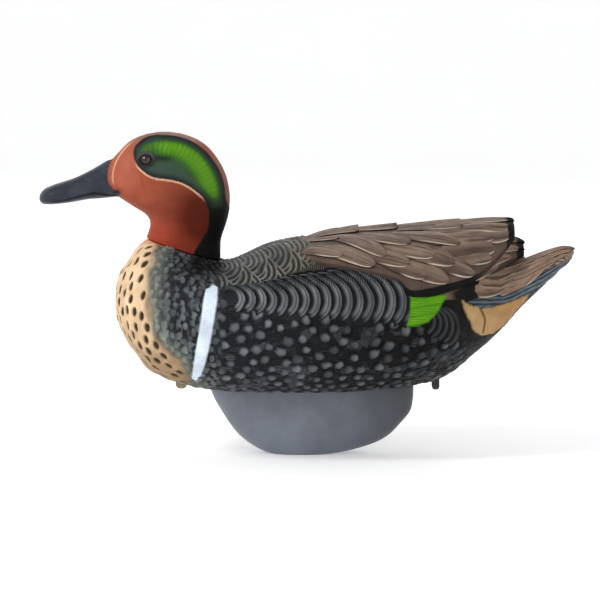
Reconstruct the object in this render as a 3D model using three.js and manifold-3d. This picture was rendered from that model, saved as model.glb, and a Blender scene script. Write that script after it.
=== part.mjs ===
// Floating duck decoy: hollow body on a weighted keel, with a head that swivels on its neck seam.
// Millimetres. The duck faces -Y, its left side is +X and +Z is up. The origin is on the ground
// under the middle of the bounding box, so the flat foot of the keel stands at Z = 0.
import * as THREE from "three";
import { mergeVertices } from "three/addons/utils/BufferGeometryUtils.js";
import Module from "manifold-3d";

const wasm = await Module();
wasm.setup();

// ---- driving dimensions ----
const GAP = 0.3; // clearance between neighbouring pieces
const WALL = 3; // thickness of the body and head shells
const KEEL_WALL = 2.6;
const KEEL_FLOOR = 3.2;

const NECK_SEAM = new THREE.Vector3(0, -77.1, 127.6); // centre of the seam the head turns on
const NECK_TILT = -0.3016; // radians about X; leans the swivel axis back towards the tail
const COLLAR_RADIUS = 27; // flat ring on the body that the neck turns over
const COLLAR_THICKNESS = 4;
const COLLAR_MARGIN = 4; // how much wider than the ring the thick part of the shell is

const SPIGOT_RADIUS = 7;
const SPIGOT_END = -9.7; // all neck heights are measured from the seam along the swivel axis
const BUSH_RADIUS = 10.7;
const BUSH_FLANGE_RADIUS = 14;
const BUSH_BOTTOM = -10;
const BOLT_RADIUS = 2.5;
const BOLT_END = -1;
const BOLT_HEAD = { radius: 5.5, bottom: -18, top: -13.9 };
const BOLT_WASHER = { radius: 11, bottom: -11.8 };
const SPRING_WASHER = { radius: 7, bottom: -13.6, top: -12.1 };
const FRICTION_RING = { inner: 8, outer: 10.4 };
const PLUG_BOTTOM = 1; // plate inside the neck that carries the spigot
const PLUG_TOP = 5;

const EYE_CENTRE = { y: -99.4, z: 183.2 };
const EYE_RADIUS = 3.4;
const EYE_FRONT = 18.8; // how far from the middle plane the eye's dome reaches
const EYE_DEPTH = 4.4;
const EYE_DOME = 1.4; // height of the eye's rounded front

const PLATE_CENTRE_Y = 2; // oval plate that closes the underside of the body
const PLATE_HALF_WIDTH = 34;
const PLATE_HALF_LENGTH = 70;

const CAP_BOTTOM = 33.5; // plate that closes the top of the keel
const CAP_TOP = 37.6;
const SEAL_TOP = 38.9;
const SEAL_WIDTH = 3;
const BALLAST_HALF = { x: 9.5, y: 27, z: 7 };
const BALLAST_CHAMFER = 3;
const BALLAST_PLACE = { y: 2, bottom: 6 };
const SCREW_RADIUS = 1.9;
const SCREW_TIP = 30.5;
const SCREW_POINT = { radius: 1, length: 1.5 };
const SCREW_HEAD_RADIUS = 4;
const SCREW_HEAD_HEIGHT = 2.8;
const SCREW_SEAT = 42.6; // underside of the screw heads, in flat seats inside the bottom plate
const SCREW_PLACES = [
  [-7.5, -38],
  [7.5, -38],
  [-7.5, 42],
  [7.5, 42],
];

// Line eyes: a tab under the hull with a hole along Y, and a stem with a nut inside the hull
const STEM_RADIUS = 2;
const STEM_TOP = 9; // stem and nut heights are measured from the hull
const NUT = { radius: 4.4, bottom: 5.4, top: 8.4 };
const TAB_CORNER = 3;
const HOLE_CORNER = 0.7;
const FRONT_EYE = { y: -78.2, bottom: 40.3, hull: 44.6, depth: 7, width: 10, hole: [3.4, 2.4], web: 1.3 };
const REAR_EYE = { y: 80, bottom: 39.7, hull: 47, depth: 4.7, width: 10, hole: [6.2, 4.6], web: 1.5 };

const SIDES = 28; // points round an outer section
const HOLLOW_SIDES = 20; // points round the section of a hollow
const ROUND = 24; // points round a small turned piece
const SMALL_ROUND = 16; // points round a screw, stem or bolt
const HEX = 6;
const FAR = 80; // further out than any piece near it reaches; used for cutting tools

// Body stations, breast to tail tip: [y, top, bottom, half width, height of the widest point]
const BODY = [
  [-119.3, 97, 94, 3, 95.5],
  [-118.3, 104, 87, 13, 95],
  [-115.6, 113.6, 77.6, 24, 94],
  [-111, 120.6, 70, 34, 93],
  [-104.5, 129.5, 60.5, 45, 91],
  [-96, 135, 52, 54, 89],
  [-84, 133.5, 46.5, 61, 87],
  [-66, 126, 42, 66.5, 86],
  [-49, 119.5, 40.2, 69, 86],
  [-20, 129, 39.6, 70.5, 87],
  [20, 134, 39.6, 70, 88],
  [58, 133, 43, 64, 90],
  [84, 129, 48.4, 54, 92],
  [106, 124.5, 64.5, 41.5, 98],
  [120, 121, 77, 33, 103],
  [133, 120.5, 92, 28.5, 107],
  [146, 124.5, 105, 26, 114],
  [157, 127.8, 114.5, 20, 120.5],
  [163, 127.6, 120, 12, 124],
  [165.3, 126.6, 124.2, 4, 125.4],
];
// Folded wings, shoulders to wing tips, in the same columns
const WINGS = [
  [-14, 129, 116, 18, 121],
  [0, 133.8, 112, 40, 118],
  [25, 138, 104, 62, 114],
  [58, 139.8, 104, 61, 114],
  [84, 142.5, 106, 52, 115],
  [106, 145, 110, 39, 119],
  [120, 145.2, 114, 28, 124],
  [129, 144, 119, 18, 128],
  [134.5, 133, 124, 9, 128.5],
];
// Bill, from inside the face to the tip, in the same columns
const BILL = [
  [-108, 180, 161, 8, 168],
  [-122.4, 183, 159.8, 11, 168],
  [-135, 175.8, 159, 11.5, 165],
  [-147.3, 170.2, 156.9, 12.6, 162],
  [-156, 167.4, 156, 12.8, 160.5],
  [-161, 165.4, 155.8, 11, 160],
  [-164.2, 163.2, 156, 7.5, 159.5],
  [-165.3, 160.6, 157.2, 3.5, 159],
];
// Neck and head stations, upwards: [z, front, back, half width]
const HEAD = [
  [104, -100.7, -53.5, 19],
  [134, -100.7, -53.5, 19],
  [143, -97.4, -50.5, 18.6],
  [149, -100, -48.8, 19.4],
  [155, -109.5, -47.8, 20.6],
  [161, -118.5, -47.8, 21.8],
  [167, -123, -48.6, 22.2],
  [175, -123.6, -50.8, 21.2],
  [183, -121.2, -55, 19],
  [190, -115.4, -60.4, 15.8],
  [195, -109.6, -66.8, 12.4],
  [198.8, -101, -75.5, 8],
  [200.6, -91.5, -85, 2.6],
];
// Keel stations, downwards: [z, front, back, half width]
const KEEL = [
  [50, -63, 66.6, 20],
  [41.5, -61, 66.6, 20],
  [33.4, -57.4, 66.2, 20],
  [26, -53, 64.4, 19.6],
  [18, -47.9, 57.8, 18.6],
  [11.5, -42.5, 51.4, 17.4],
  [6.5, -36.4, 42.6, 16],
  [2.6, -30, 30, 14.8],
  [0, -23, 17, 13.6],
];

// ---- shape tools ----
function ring(count, place) {
  return Array.from({ length: count }, (_, i) => place((2 * Math.PI * i) / count));
}

function squashed(value, squareness) {
  return Math.sign(value) * Math.abs(value) ** (2 / squareness);
}

// Rows between the given stations, on smooth curves through every column.
function smoothRows(stations, steps) {
  const columns = stations[0].map((_, c) => stations.map((row) => row[c]));
  const last = stations.length - 1;
  const spline = (values, t) => {
    const i = Math.min(Math.floor(t), last - 1);
    const before = values[Math.max(i - 1, 0)];
    const after = values[Math.min(i + 2, last)];
    const u = t - i;
    const slopeIn = (values[i + 1] - before) / 2;
    const slopeOut = (after - values[i]) / 2;
    return (
      (2 * u ** 3 - 3 * u ** 2 + 1) * values[i] +
      (u ** 3 - 2 * u ** 2 + u) * slopeIn +
      (3 * u ** 2 - 2 * u ** 3) * values[i + 1] +
      (u ** 3 - u ** 2) * slopeOut
    );
  };
  return Array.from({ length: steps + 1 }, (_, k) => {
    const t = (last * k) / steps;
    return columns.map((values) => spline(values, t));
  });
}

// A closed body through rings of points, each end closed by a fan.
function loft(rings) {
  const count = rings[0].length;
  const points = rings.flat();
  const faces = [];
  for (let r = 0; r + 1 < rings.length; r += 1) {
    for (let i = 0; i < count; i += 1) {
      const a = r * count + i;
      const b = r * count + ((i + 1) % count);
      faces.push([a, b, b + count], [a, b + count, a + count]);
    }
  }
  const centre = (list) => list.reduce((sum, p) => sum.add(p), new THREE.Vector3()).divideScalar(count);
  points.push(centre(rings[0]), centre(rings.at(-1)));
  const lastRing = (rings.length - 1) * count;
  for (let i = 0; i < count; i += 1) {
    const next = (i + 1) % count;
    faces.push([points.length - 2, next, i], [points.length - 1, lastRing + i, lastRing + next]);
  }
  const geometry = new THREE.BufferGeometry().setFromPoints(points);
  geometry.setIndex(faces.flat());
  return volume(geometry) < 0 ? flipped(geometry) : geometry;
}

function volume(geometry) {
  const position = geometry.getAttribute("position");
  const index = geometry.getIndex().array;
  const corner = (i) => new THREE.Vector3().fromBufferAttribute(position, index[i]);
  let total = 0;
  for (let i = 0; i < index.length; i += 3) {
    total += corner(i).dot(corner(i + 1).cross(corner(i + 2))) / 6;
  }
  return total;
}

function flipped(geometry) {
  const index = geometry.getIndex().array;
  for (let i = 0; i < index.length; i += 3) {
    [index[i], index[i + 1]] = [index[i + 1], index[i]];
  }
  return geometry;
}

function solid(geometry) {
  const bare = new THREE.BufferGeometry();
  bare.setAttribute("position", geometry.getAttribute("position"));
  bare.setIndex(geometry.getIndex());
  const merged = mergeVertices(bare, 1e-3);
  const vertProperties = new Float32Array(merged.getAttribute("position").array);
  const triVerts = new Uint32Array(merged.getIndex().array);
  return new wasm.Manifold(new wasm.Mesh({ numProp: 3, vertProperties, triVerts }));
}

function geometryOf(body) {
  const mesh = body.getMesh();
  const geometry = new THREE.BufferGeometry();
  geometry.setAttribute("position", new THREE.BufferAttribute(new Float32Array(mesh.vertProperties), 3));
  geometry.setIndex(Array.from(mesh.triVerts));
  return geometry;
}

function placed(geometry, matrix) {
  return solid(geometry.clone().applyMatrix4(matrix));
}

function block(x0, x1, y0, y1, z0, z1) {
  const box = new THREE.BoxGeometry(x1 - x0, y1 - y0, z1 - z0);
  return placed(box, new THREE.Matrix4().makeTranslation((x0 + x1) / 2, (y0 + y1) / 2, (z0 + z1) / 2));
}

// Everything between two heights.
function layer(bottom, top) {
  return block(-FAR, FAR, -FAR, FAR, bottom, top);
}

// A turned shape from [radius, height] corners, its axis along Z.
function turned(profile, segments = ROUND) {
  const lathe = new THREE.LatheGeometry(profile.map(([r, h]) => new THREE.Vector2(r, h)), segments);
  lathe.rotateX(Math.PI / 2);
  const bare = mergeVertices(
    new THREE.BufferGeometry()
      .setAttribute("position", lathe.getAttribute("position"))
      .setIndex(lathe.getIndex()),
    1e-3,
  );
  const index = bare.getIndex().array;
  const kept = [];
  for (let i = 0; i < index.length; i += 3) {
    const [a, b, c] = [index[i], index[i + 1], index[i + 2]];
    if (a !== b && b !== c && a !== c) kept.push(a, b, c);
  }
  bare.setIndex(kept);
  return volume(bare) < 0 ? flipped(bare) : bare;
}

function disc(radius, bottom, top, segments = ROUND) {
  return turned([[0, bottom], [radius, bottom], [radius, top], [0, top]], segments);
}

function tube(inner, outer, bottom, top, segments = ROUND) {
  return turned(
    [[inner, bottom], [outer, bottom], [outer, top], [inner, top], [inner, bottom]],
    segments,
  );
}

const neckFrame = new THREE.Matrix4()
  .makeRotationX(NECK_TILT)
  .setPosition(NECK_SEAM.x, NECK_SEAM.y, NECK_SEAM.z);

function atNeck(geometry) {
  return placed(geometry, neckFrame);
}

// ---- lofted outlines; "inset" moves the surface inwards ----
function lengthwise(stations, steps, squareness, inset = 0, sides = SIDES) {
  return solid(
    loft(
      smoothRows(stations, steps).map(([y, top, bottom, halfWidth, middle]) =>
        ring(sides, (angle) => {
          const across = squashed(Math.cos(angle), squareness) * Math.max(halfWidth - inset, 0.5);
          const up = squashed(Math.sin(angle), squareness);
          const reach = up > 0 ? top - middle : middle - bottom;
          return new THREE.Vector3(across, y, middle + up * Math.max(reach - inset, 0.5));
        }),
      ),
    ),
  );
}

function upright(stations, steps, squareness, inset = 0, sides = SIDES) {
  return solid(
    loft(
      smoothRows(stations, steps).map(([z, front, back, halfWidth]) =>
        ring(sides, (angle) => {
          const across = squashed(Math.cos(angle), squareness) * (halfWidth - inset);
          const along = squashed(Math.sin(angle), squareness) * ((back - front) / 2 - inset);
          return new THREE.Vector3(across, (front + back) / 2 + along, z);
        }),
      ),
    ),
  );
}

function bodyOutline(inset = 0) {
  return lengthwise(BODY, 30, 2.3, inset);
}

function bodyHollow() {
  const roomy = BODY.slice(1, 15);
  const collarBlock = atNeck(disc(COLLAR_RADIUS + COLLAR_MARGIN, -COLLAR_THICKNESS, FAR));
  return lengthwise(roomy, 18, 2.3, WALL, HOLLOW_SIDES).subtract(collarBlock);
}

function headHollow(inset) {
  return upright(HEAD.slice(0, -1), 15, 2.1, inset, HOLLOW_SIDES);
}

function keelHollow(inset, floor) {
  return upright(KEEL, 10, 2.6, inset, HOLLOW_SIDES).intersect(layer(floor, FAR));
}

function platePrism(grow) {
  const outline = new THREE.Shape();
  outline.absellipse(0, 0, PLATE_HALF_WIDTH + grow, PLATE_HALF_LENGTH + grow, 0, 2 * Math.PI);
  const prism = new THREE.ExtrudeGeometry(outline, { depth: FAR, bevelEnabled: false, curveSegments: 14 });
  return placed(indexed(prism), new THREE.Matrix4().makeTranslation(0, PLATE_CENTRE_Y, -FAR / 4));
}

function indexed(geometry) {
  const bare = new THREE.BufferGeometry();
  bare.setAttribute("position", geometry.getAttribute("position"));
  return mergeVertices(bare, 1e-3);
}

// ---- body pieces ----
function hullWall() {
  return bodyOutline().subtract(bodyHollow());
}

function bodyShell() {
  const above = atNeck(disc(COLLAR_RADIUS, -GAP, FAR));
  const bore = atNeck(disc(BUSH_RADIUS + GAP, 2 * BUSH_BOTTOM, FAR));
  return bodyOutline()
    .add(lengthwise(WINGS, 12, 2.4))
    .subtract(bodyHollow())
    .subtract(above)
    .subtract(bore)
    .subtract(platePrism(0))
    .subtract(lineEyeStemHole(FRONT_EYE))
    .subtract(lineEyeStemHole(REAR_EYE));
}

function bottomPlate() {
  return screwPlaces(hullWall().intersect(platePrism(-GAP)), (body, at) =>
    body
      .subtract(placed(disc(SCREW_RADIUS + GAP, 0, FAR, SMALL_ROUND), at))
      .subtract(placed(disc(SCREW_HEAD_RADIUS + GAP, SCREW_SEAT - GAP, FAR, SMALL_ROUND), at)),
  );
}

function neckBush() {
  return atNeck(
    turned([
      [SPIGOT_RADIUS + GAP, BUSH_BOTTOM],
      [BUSH_FLANGE_RADIUS, BUSH_BOTTOM],
      [BUSH_FLANGE_RADIUS, -COLLAR_THICKNESS - GAP],
      [BUSH_RADIUS, -COLLAR_THICKNESS - GAP],
      [BUSH_RADIUS, -2 * GAP],
      [SPIGOT_RADIUS + GAP, -2 * GAP],
      [SPIGOT_RADIUS + GAP, BUSH_BOTTOM],
    ]),
  );
}

// ---- head pieces ----

function headShell() {
  const belowSeam = atNeck(disc(FAR, -FAR, GAP, HEX));
  const sockets = [-1, 1].map((side) => eyePlug(side, EYE_RADIUS + GAP));
  return upright(HEAD, 20, 2.1)
    .add(lengthwise(BILL, 10, 2.3))
    .subtract(belowSeam)
    .subtract(headHollow(WALL))
    .subtract(sockets[0])
    .subtract(sockets[1]);
}

// A shallow dome on a round stem, set into the side of the head.
function eyePlug(side, radius) {
  const dome = turned(
    [
      [0, EYE_FRONT - EYE_DEPTH],
      [radius, EYE_FRONT - EYE_DEPTH],
      [radius, EYE_FRONT - EYE_DOME],
      [radius * 0.8, EYE_FRONT - EYE_DOME * 0.36],
      [radius * 0.4, EYE_FRONT - EYE_DOME * 0.07],
      [0, EYE_FRONT],
    ],
    HOLLOW_SIDES,
  );
  const place = new THREE.Matrix4()
    .makeTranslation(0, EYE_CENTRE.y, EYE_CENTRE.z)
    .multiply(new THREE.Matrix4().makeRotationY((side * Math.PI) / 2));
  return placed(dome, place);
}

function neckPlug() {
  const plate = headHollow(WALL + GAP).intersect(atNeck(disc(FAR, PLUG_BOTTOM, PLUG_TOP, HEX)));
  return plate
    .add(atNeck(disc(SPIGOT_RADIUS, SPIGOT_END, PLUG_TOP - 1)))
    .subtract(atNeck(disc(BOLT_RADIUS + GAP, SPIGOT_END - 1, 0)));
}

// ---- keel pieces ----
function screwPlaces(body, cut) {
  return SCREW_PLACES.reduce(
    (result, [x, y]) => cut(result, new THREE.Matrix4().makeTranslation(x, y, 0)),
    body,
  );
}

function keelShell() {
  return upright(KEEL, 12, 2.6)
    .subtract(bodyOutline(-GAP))
    .subtract(keelHollow(KEEL_WALL, KEEL_FLOOR));
}

function keelCap() {
  const plate = keelHollow(KEEL_WALL + GAP, CAP_BOTTOM).intersect(layer(CAP_BOTTOM, CAP_TOP));
  return screwPlaces(plate, (body, at) =>
    body.subtract(placed(disc(SCREW_RADIUS + GAP, 0, FAR, SMALL_ROUND), at)),
  );
}

function keelSeal() {
  return keelHollow(KEEL_WALL + GAP, CAP_BOTTOM)
    .subtract(keelHollow(KEEL_WALL + SEAL_WIDTH, CAP_BOTTOM))
    .intersect(layer(CAP_TOP + GAP, SEAL_TOP));
}

function ballastBar() {
  const { x, y, z } = BALLAST_HALF;
  const c = BALLAST_CHAMFER;
  const half = [[x - c, -y], [x, -y + c], [x, y - c], [x - c, y]];
  const corners = [...half, ...half.map(([across, along]) => [-across, -along])];
  const outline = new THREE.Shape(corners.map(([across, along]) => new THREE.Vector2(across, along)));
  const cast = new THREE.ExtrudeGeometry(outline, { depth: 2 * z, bevelEnabled: false });
  return placed(indexed(cast), new THREE.Matrix4().makeTranslation(0, BALLAST_PLACE.y, BALLAST_PLACE.bottom));
}

function keelScrew(x, y) {
  const profile = [
    [0, SCREW_TIP],
    [SCREW_POINT.radius, SCREW_TIP],
    [SCREW_RADIUS, SCREW_TIP + SCREW_POINT.length],
    [SCREW_RADIUS, SCREW_SEAT],
    [SCREW_HEAD_RADIUS, SCREW_SEAT],
    [SCREW_HEAD_RADIUS, SCREW_SEAT + SCREW_HEAD_HEIGHT * 0.6],
    [SCREW_HEAD_RADIUS * 0.6, SCREW_SEAT + SCREW_HEAD_HEIGHT],
    [0, SCREW_SEAT + SCREW_HEAD_HEIGHT],
  ];
  return placed(turned(profile, SMALL_ROUND), new THREE.Matrix4().makeTranslation(x, y, 0));
}

// ---- line eyes ----
function lineEyeStemHole(eye) {
  const place = new THREE.Matrix4().makeTranslation(0, eye.y, 0);
  return placed(disc(STEM_RADIUS + GAP, 0, eye.hull + STEM_TOP + WALL, SMALL_ROUND), place);
}

// The four rounded corners of an upright rectangle, counter-clockwise from the lower right.
function roundedRectangle(path, halfWidth, bottom, top, corner) {
  path.absarc(halfWidth - corner, bottom + corner, corner, 1.5 * Math.PI, 2 * Math.PI);
  path.absarc(halfWidth - corner, top - corner, corner, 0, 0.5 * Math.PI);
  path.absarc(-halfWidth + corner, top - corner, corner, 0.5 * Math.PI, Math.PI);
  path.absarc(-halfWidth + corner, bottom + corner, corner, Math.PI, 1.5 * Math.PI);
  return path;
}

function lineEye(eye) {
  const [holeWidth, holeHeight] = eye.hole;
  const holeBottom = eye.bottom + eye.web;
  const holeTop = holeBottom + holeHeight;
  const inHull = eye.hull + 2 * TAB_CORNER;
  const tab = roundedRectangle(new THREE.Shape(), eye.width / 2, eye.bottom, inHull, TAB_CORNER);
  tab.holes.push(roundedRectangle(new THREE.Path(), holeWidth / 2, holeBottom, holeTop, HOLE_CORNER));
  const slab = new THREE.ExtrudeGeometry(tab, { depth: eye.depth, bevelEnabled: false, curveSegments: 4 });
  const stand = new THREE.Matrix4()
    .makeTranslation(0, eye.y + eye.depth / 2, 0)
    .multiply(new THREE.Matrix4().makeRotationX(Math.PI / 2));
  const place = new THREE.Matrix4().makeTranslation(0, eye.y, 0);
  const stemBottom = holeTop + GAP / 2;
  return placed(indexed(slab), stand)
    .subtract(bodyOutline(-GAP))
    .add(placed(disc(STEM_RADIUS, stemBottom, eye.hull + STEM_TOP, SMALL_ROUND), place));
}

function lineEyeNut(eye) {
  const place = new THREE.Matrix4().makeTranslation(0, eye.y, 0);
  const nut = tube(STEM_RADIUS + GAP, NUT.radius, eye.hull + NUT.bottom, eye.hull + NUT.top, HEX);
  return placed(nut, place);
}

function boltWasher() {
  return atNeck(tube(BOLT_RADIUS + GAP, BOLT_WASHER.radius, BOLT_WASHER.bottom, BUSH_BOTTOM - GAP));
}

function springWasher() {
  const { radius, bottom, top } = SPRING_WASHER;
  return atNeck(tube(BOLT_RADIUS + GAP, radius, bottom, top));
}

function headBolt() {
  const head = atNeck(disc(BOLT_HEAD.radius, BOLT_HEAD.bottom, BOLT_HEAD.top, HEX));
  return head.add(atNeck(disc(BOLT_RADIUS, BOLT_HEAD.top - 2 * GAP, BOLT_END, SMALL_ROUND)));
}

function frictionRing() {
  return atNeck(tube(FRICTION_RING.inner, FRICTION_RING.outer, -GAP, PLUG_BOTTOM - GAP));
}

// ---- materials ----
function material(colour, roughness, metalness = 0) {
  return new THREE.MeshStandardMaterial({ color: colour, roughness, metalness });
}

const bodyPaint = () => material("#5d5a55", 0.75);
const headPaint = () => material("#7c3d28", 0.7);
const keelPaint = () => material("#5f646c", 0.6);
const nylon = () => material("#2c2e30", 0.5);
const steel = () => material("#a9adb0", 0.35, 1);
const rubber = () => material("#1b1b1c", 0.9);
const castIron = () => material("#4a4b4d", 0.8, 0.6);
const tanPlastic = () => material("#96906f", 0.7);
const darkPlastic = () => material("#232626", 0.7);
const eyeGlass = () => material("#0c0a09", 0.1);

// ---- the assembly ----
const group = new THREE.Group();
const bodyGroup = new THREE.Group();
const headGroup = new THREE.Group();
group.add(bodyGroup, headGroup);

function add(parent, name, body, paint) {
  const mesh = new THREE.Mesh(geometryOf(body), paint);
  mesh.name = name;
  parent.add(mesh);
}

add(bodyGroup, "body_shell", bodyShell(), bodyPaint());
add(bodyGroup, "bottom_plate", bottomPlate(), bodyPaint());
add(bodyGroup, "neck_bush", neckBush(), nylon());
add(bodyGroup, "friction_ring", frictionRing(), rubber());
add(bodyGroup, "keel_shell", keelShell(), keelPaint());
add(bodyGroup, "keel_cap", keelCap(), keelPaint());
add(bodyGroup, "keel_seal", keelSeal(), rubber());
add(bodyGroup, "ballast_bar", ballastBar(), castIron());
SCREW_PLACES.forEach(([x, y], i) => add(bodyGroup, `keel_screw_${i + 1}`, keelScrew(x, y), steel()));
add(bodyGroup, "front_line_eye", lineEye(FRONT_EYE), tanPlastic());
add(bodyGroup, "rear_line_eye", lineEye(REAR_EYE), darkPlastic());
add(bodyGroup, "front_eye_nut", lineEyeNut(FRONT_EYE), steel());
add(bodyGroup, "rear_eye_nut", lineEyeNut(REAR_EYE), steel());

add(headGroup, "head_shell", headShell(), headPaint());
add(headGroup, "left_eye", eyePlug(1, EYE_RADIUS), eyeGlass());
add(headGroup, "right_eye", eyePlug(-1, EYE_RADIUS), eyeGlass());
add(headGroup, "neck_plug", neckPlug(), nylon());
add(headGroup, "bolt_washer", boltWasher(), steel());
add(headGroup, "spring_washer", springWasher(), steel());
add(headGroup, "head_bolt", headBolt(), steel());

export default group;
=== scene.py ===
"""Looks of the floating duck decoy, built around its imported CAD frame.

Lengths below are millimetres in the CAD frame: the duck faces -Y, its left side is +X, +Z is up.
Paint and feather relief are laid out in the "side plane": y along the body, and h, the height
seen from the side by a viewer a little above, so h = z - LEAN * |x|. Both sides are mirror images.
"""
import math

import bmesh
import bpy
import numpy as np
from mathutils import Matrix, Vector


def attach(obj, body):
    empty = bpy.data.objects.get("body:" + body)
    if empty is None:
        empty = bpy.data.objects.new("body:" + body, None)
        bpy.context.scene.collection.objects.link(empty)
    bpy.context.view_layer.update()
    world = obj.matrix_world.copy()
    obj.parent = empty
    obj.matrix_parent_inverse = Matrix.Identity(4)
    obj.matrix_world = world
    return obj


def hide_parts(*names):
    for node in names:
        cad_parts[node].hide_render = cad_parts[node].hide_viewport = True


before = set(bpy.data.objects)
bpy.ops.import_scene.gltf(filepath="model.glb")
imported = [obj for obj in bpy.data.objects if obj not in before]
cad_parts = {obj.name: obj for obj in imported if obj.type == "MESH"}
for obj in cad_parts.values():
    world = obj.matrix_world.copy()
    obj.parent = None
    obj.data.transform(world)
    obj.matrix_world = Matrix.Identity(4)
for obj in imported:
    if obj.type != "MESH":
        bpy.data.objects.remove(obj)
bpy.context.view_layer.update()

MM = 0.001
LEAN = 0.10
SIDES = (("left", 1), ("right", -1))
PAINT_RANGE = (0.002, 0.95)

# ---------------------------------------------------------------- camera, lights, floor
VIEW_ELEVATION = math.radians(6)
VIEW_TARGET = Vector((0, -4.4, 95.6)) * MM
VIEW_DISTANCE = 2.4
VIEW_WIDTH = 0.373


def make_camera():
    camera = bpy.data.objects.new("camera", bpy.data.cameras.new("camera"))
    bpy.context.collection.objects.link(camera)
    away = Vector((math.cos(VIEW_ELEVATION), 0, math.sin(VIEW_ELEVATION)))
    camera.location = VIEW_TARGET + away * VIEW_DISTANCE
    camera.rotation_euler = away.to_track_quat("Z", "Y").to_euler()
    camera.data.angle = 2 * math.atan(VIEW_WIDTH / 2 / VIEW_DISTANCE)
    camera.data.clip_end = 20
    bpy.context.scene.camera = camera


def area_light(name, place, size, watts):
    light = bpy.data.lights.new(name, "AREA")
    light.size = size
    light.energy = watts
    lamp = bpy.data.objects.new(name, light)
    bpy.context.collection.objects.link(lamp)
    lamp.location = Vector(place)
    lamp.rotation_euler = (Vector(place) - VIEW_TARGET).to_track_quat("Z", "Y").to_euler()


def make_studio():
    area_light("key", (0.8, -1.3, 1.4), 0.45, 17)
    area_light("fill", (1.5, 0.9, 0.5), 1.4, 1.5)
    area_light("back", (-1.2, 0.2, 1.3), 0.9, 6)
    world = bpy.data.worlds.new("studio")
    bpy.context.scene.world = world
    world.use_nodes = True
    background = world.node_tree.nodes["Background"]
    background.inputs["Color"].default_value = (0.97, 0.98, 1, 1)
    background.inputs["Strength"].default_value = 0.4
    bpy.context.scene.view_settings.view_transform = "Standard"
    make_backdrop()


def make_backdrop():
    """A round paper sweep: a level floor that curves up into a low white wall all round."""
    bend = [(3.2 + 1.6 * math.sin(a), 1.6 - 1.6 * math.cos(a)) for a in np.linspace(0, math.pi / 2, 14)]
    profile = [(0.6, 0), (1.6, 0)] + bend + [(4.8, 4.5)]
    turns = 64
    angles = [2 * math.pi * k / turns for k in range(turns)]
    points = [
        (radius * math.cos(a), radius * math.sin(a), height) for radius, height in profile for a in angles
    ]
    middle = len(points)
    points.append((0, 0, 0))
    faces = [(middle, k, (k + 1) % turns) for k in range(turns)]
    faces += [(a, d, c, b) for a, b, c, d in grid_faces(len(profile), turns, wrap=True).tolist()]
    mesh = bpy.data.meshes.new("floor")
    mesh.from_pydata(points, [], faces)
    mesh.polygons.foreach_set("use_smooth", [True] * len(faces))
    floor = bpy.data.objects.new("floor", mesh)
    bpy.context.collection.objects.link(floor)
    mesh.materials.append(floor_material())


# ---------------------------------------------------------------- number tools
def spline(rows, t):
    """Rows of a table at fractional row numbers t, on smooth curves through every column."""
    rows = np.asarray(rows, float)
    last = len(rows) - 1
    t = np.clip(t, 0, last)
    i = np.minimum(t.astype(int), last - 1)
    u = (t - i)[:, None]
    before, here = rows[np.maximum(i - 1, 0)], rows[i]
    after, beyond = rows[i + 1], rows[np.minimum(i + 2, last)]
    slope_in = (after - before) / 2
    slope_out = (beyond - here) / 2
    return (
        (2 * u**3 - 3 * u**2 + 1) * here
        + (u**3 - 2 * u**2 + u) * slope_in
        + (3 * u**2 - 2 * u**3) * after
        + (u**3 - u**2) * slope_out
    )


def smooth_line(points, per_span=8):
    """A dense smooth line through a few points."""
    return spline(points, np.linspace(0, len(points) - 1, (len(points) - 1) * per_span + 1))


def rows_at(rows, y):
    """The table's rows where its first column takes the values y."""
    t = np.linspace(0, len(rows) - 1, 40 * len(rows))
    fine = spline(rows, t)
    return spline(rows, np.interp(y, np.maximum.accumulate(fine[:, 0]), t))


def step(value, low, high):
    """0 below low, 1 above high, and a smooth rise between."""
    u = np.clip((value - low) / (high - low), 0, 1)
    return u * u * (3 - 2 * u)


def bump_at(value, centre, width):
    return np.exp(-(((value - centre) / width) ** 2))


def noise(points, size, seed=0):
    """Smooth noise between -1 and 1 with lumps of the given size."""
    q = np.asarray(points, float) / size + 1000.0
    cell = np.floor(q).astype(np.int64)
    f = q - cell
    f = f * f * (3 - 2 * f)
    total = np.zeros(len(q))
    for corner in np.ndindex(2, 2, 2):
        c = cell + corner
        mixed = (c[:, 0] * 73856093) ^ (c[:, 1] * 19349663) ^ (c[:, 2] * 83492791) ^ (seed * 2654435761)
        mixed = (mixed ^ (mixed >> 13)) * 1274126177 & 0xFFFFFFFF
        value = ((mixed ^ (mixed >> 16)) & 0xFFFF) / 32767.5 - 1
        weight = np.prod(np.where(corner, f, 1 - f), axis=1)
        total += weight * value
    return total


def layered_noise(points, size, octaves=3, seed=0):
    return sum(noise(points, size / 2**k, seed + k) / 2**k for k in range(octaves))


def segment_distance(x, y, start, end):
    """Distance to a straight stretch, and how far along it the nearest point is, from 0 to 1."""
    (ax, ay), (bx, by) = start, end
    dx, dy = bx - ax, by - ay
    t = np.clip(((x - ax) * dx + (y - ay) * dy) / max(dx * dx + dy * dy, 1e-9), 0, 1)
    return np.hypot(x - ax - t * dx, y - ay - t * dy), t


def area_distance(x, y, outline):
    """Distance to a closed outline in millimetres, positive inside it."""
    outline = np.asarray(outline, float)
    nearest = np.full(len(x), 1e9)
    inside = np.zeros(len(x), bool)
    for start, end in zip(outline, np.roll(outline, -1, axis=0)):
        nearest = np.minimum(nearest, segment_distance(x, y, start, end)[0])
        (ax, ay), (dx, dy) = start, end - start
        crosses = (ay > y) != (end[1] > y)
        reach = ax + (y - ay) * dx / (dy if abs(dy) > 1e-9 else 1e-9)
        inside ^= crosses & (x < reach)
    return np.where(inside, nearest, -nearest)


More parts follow.
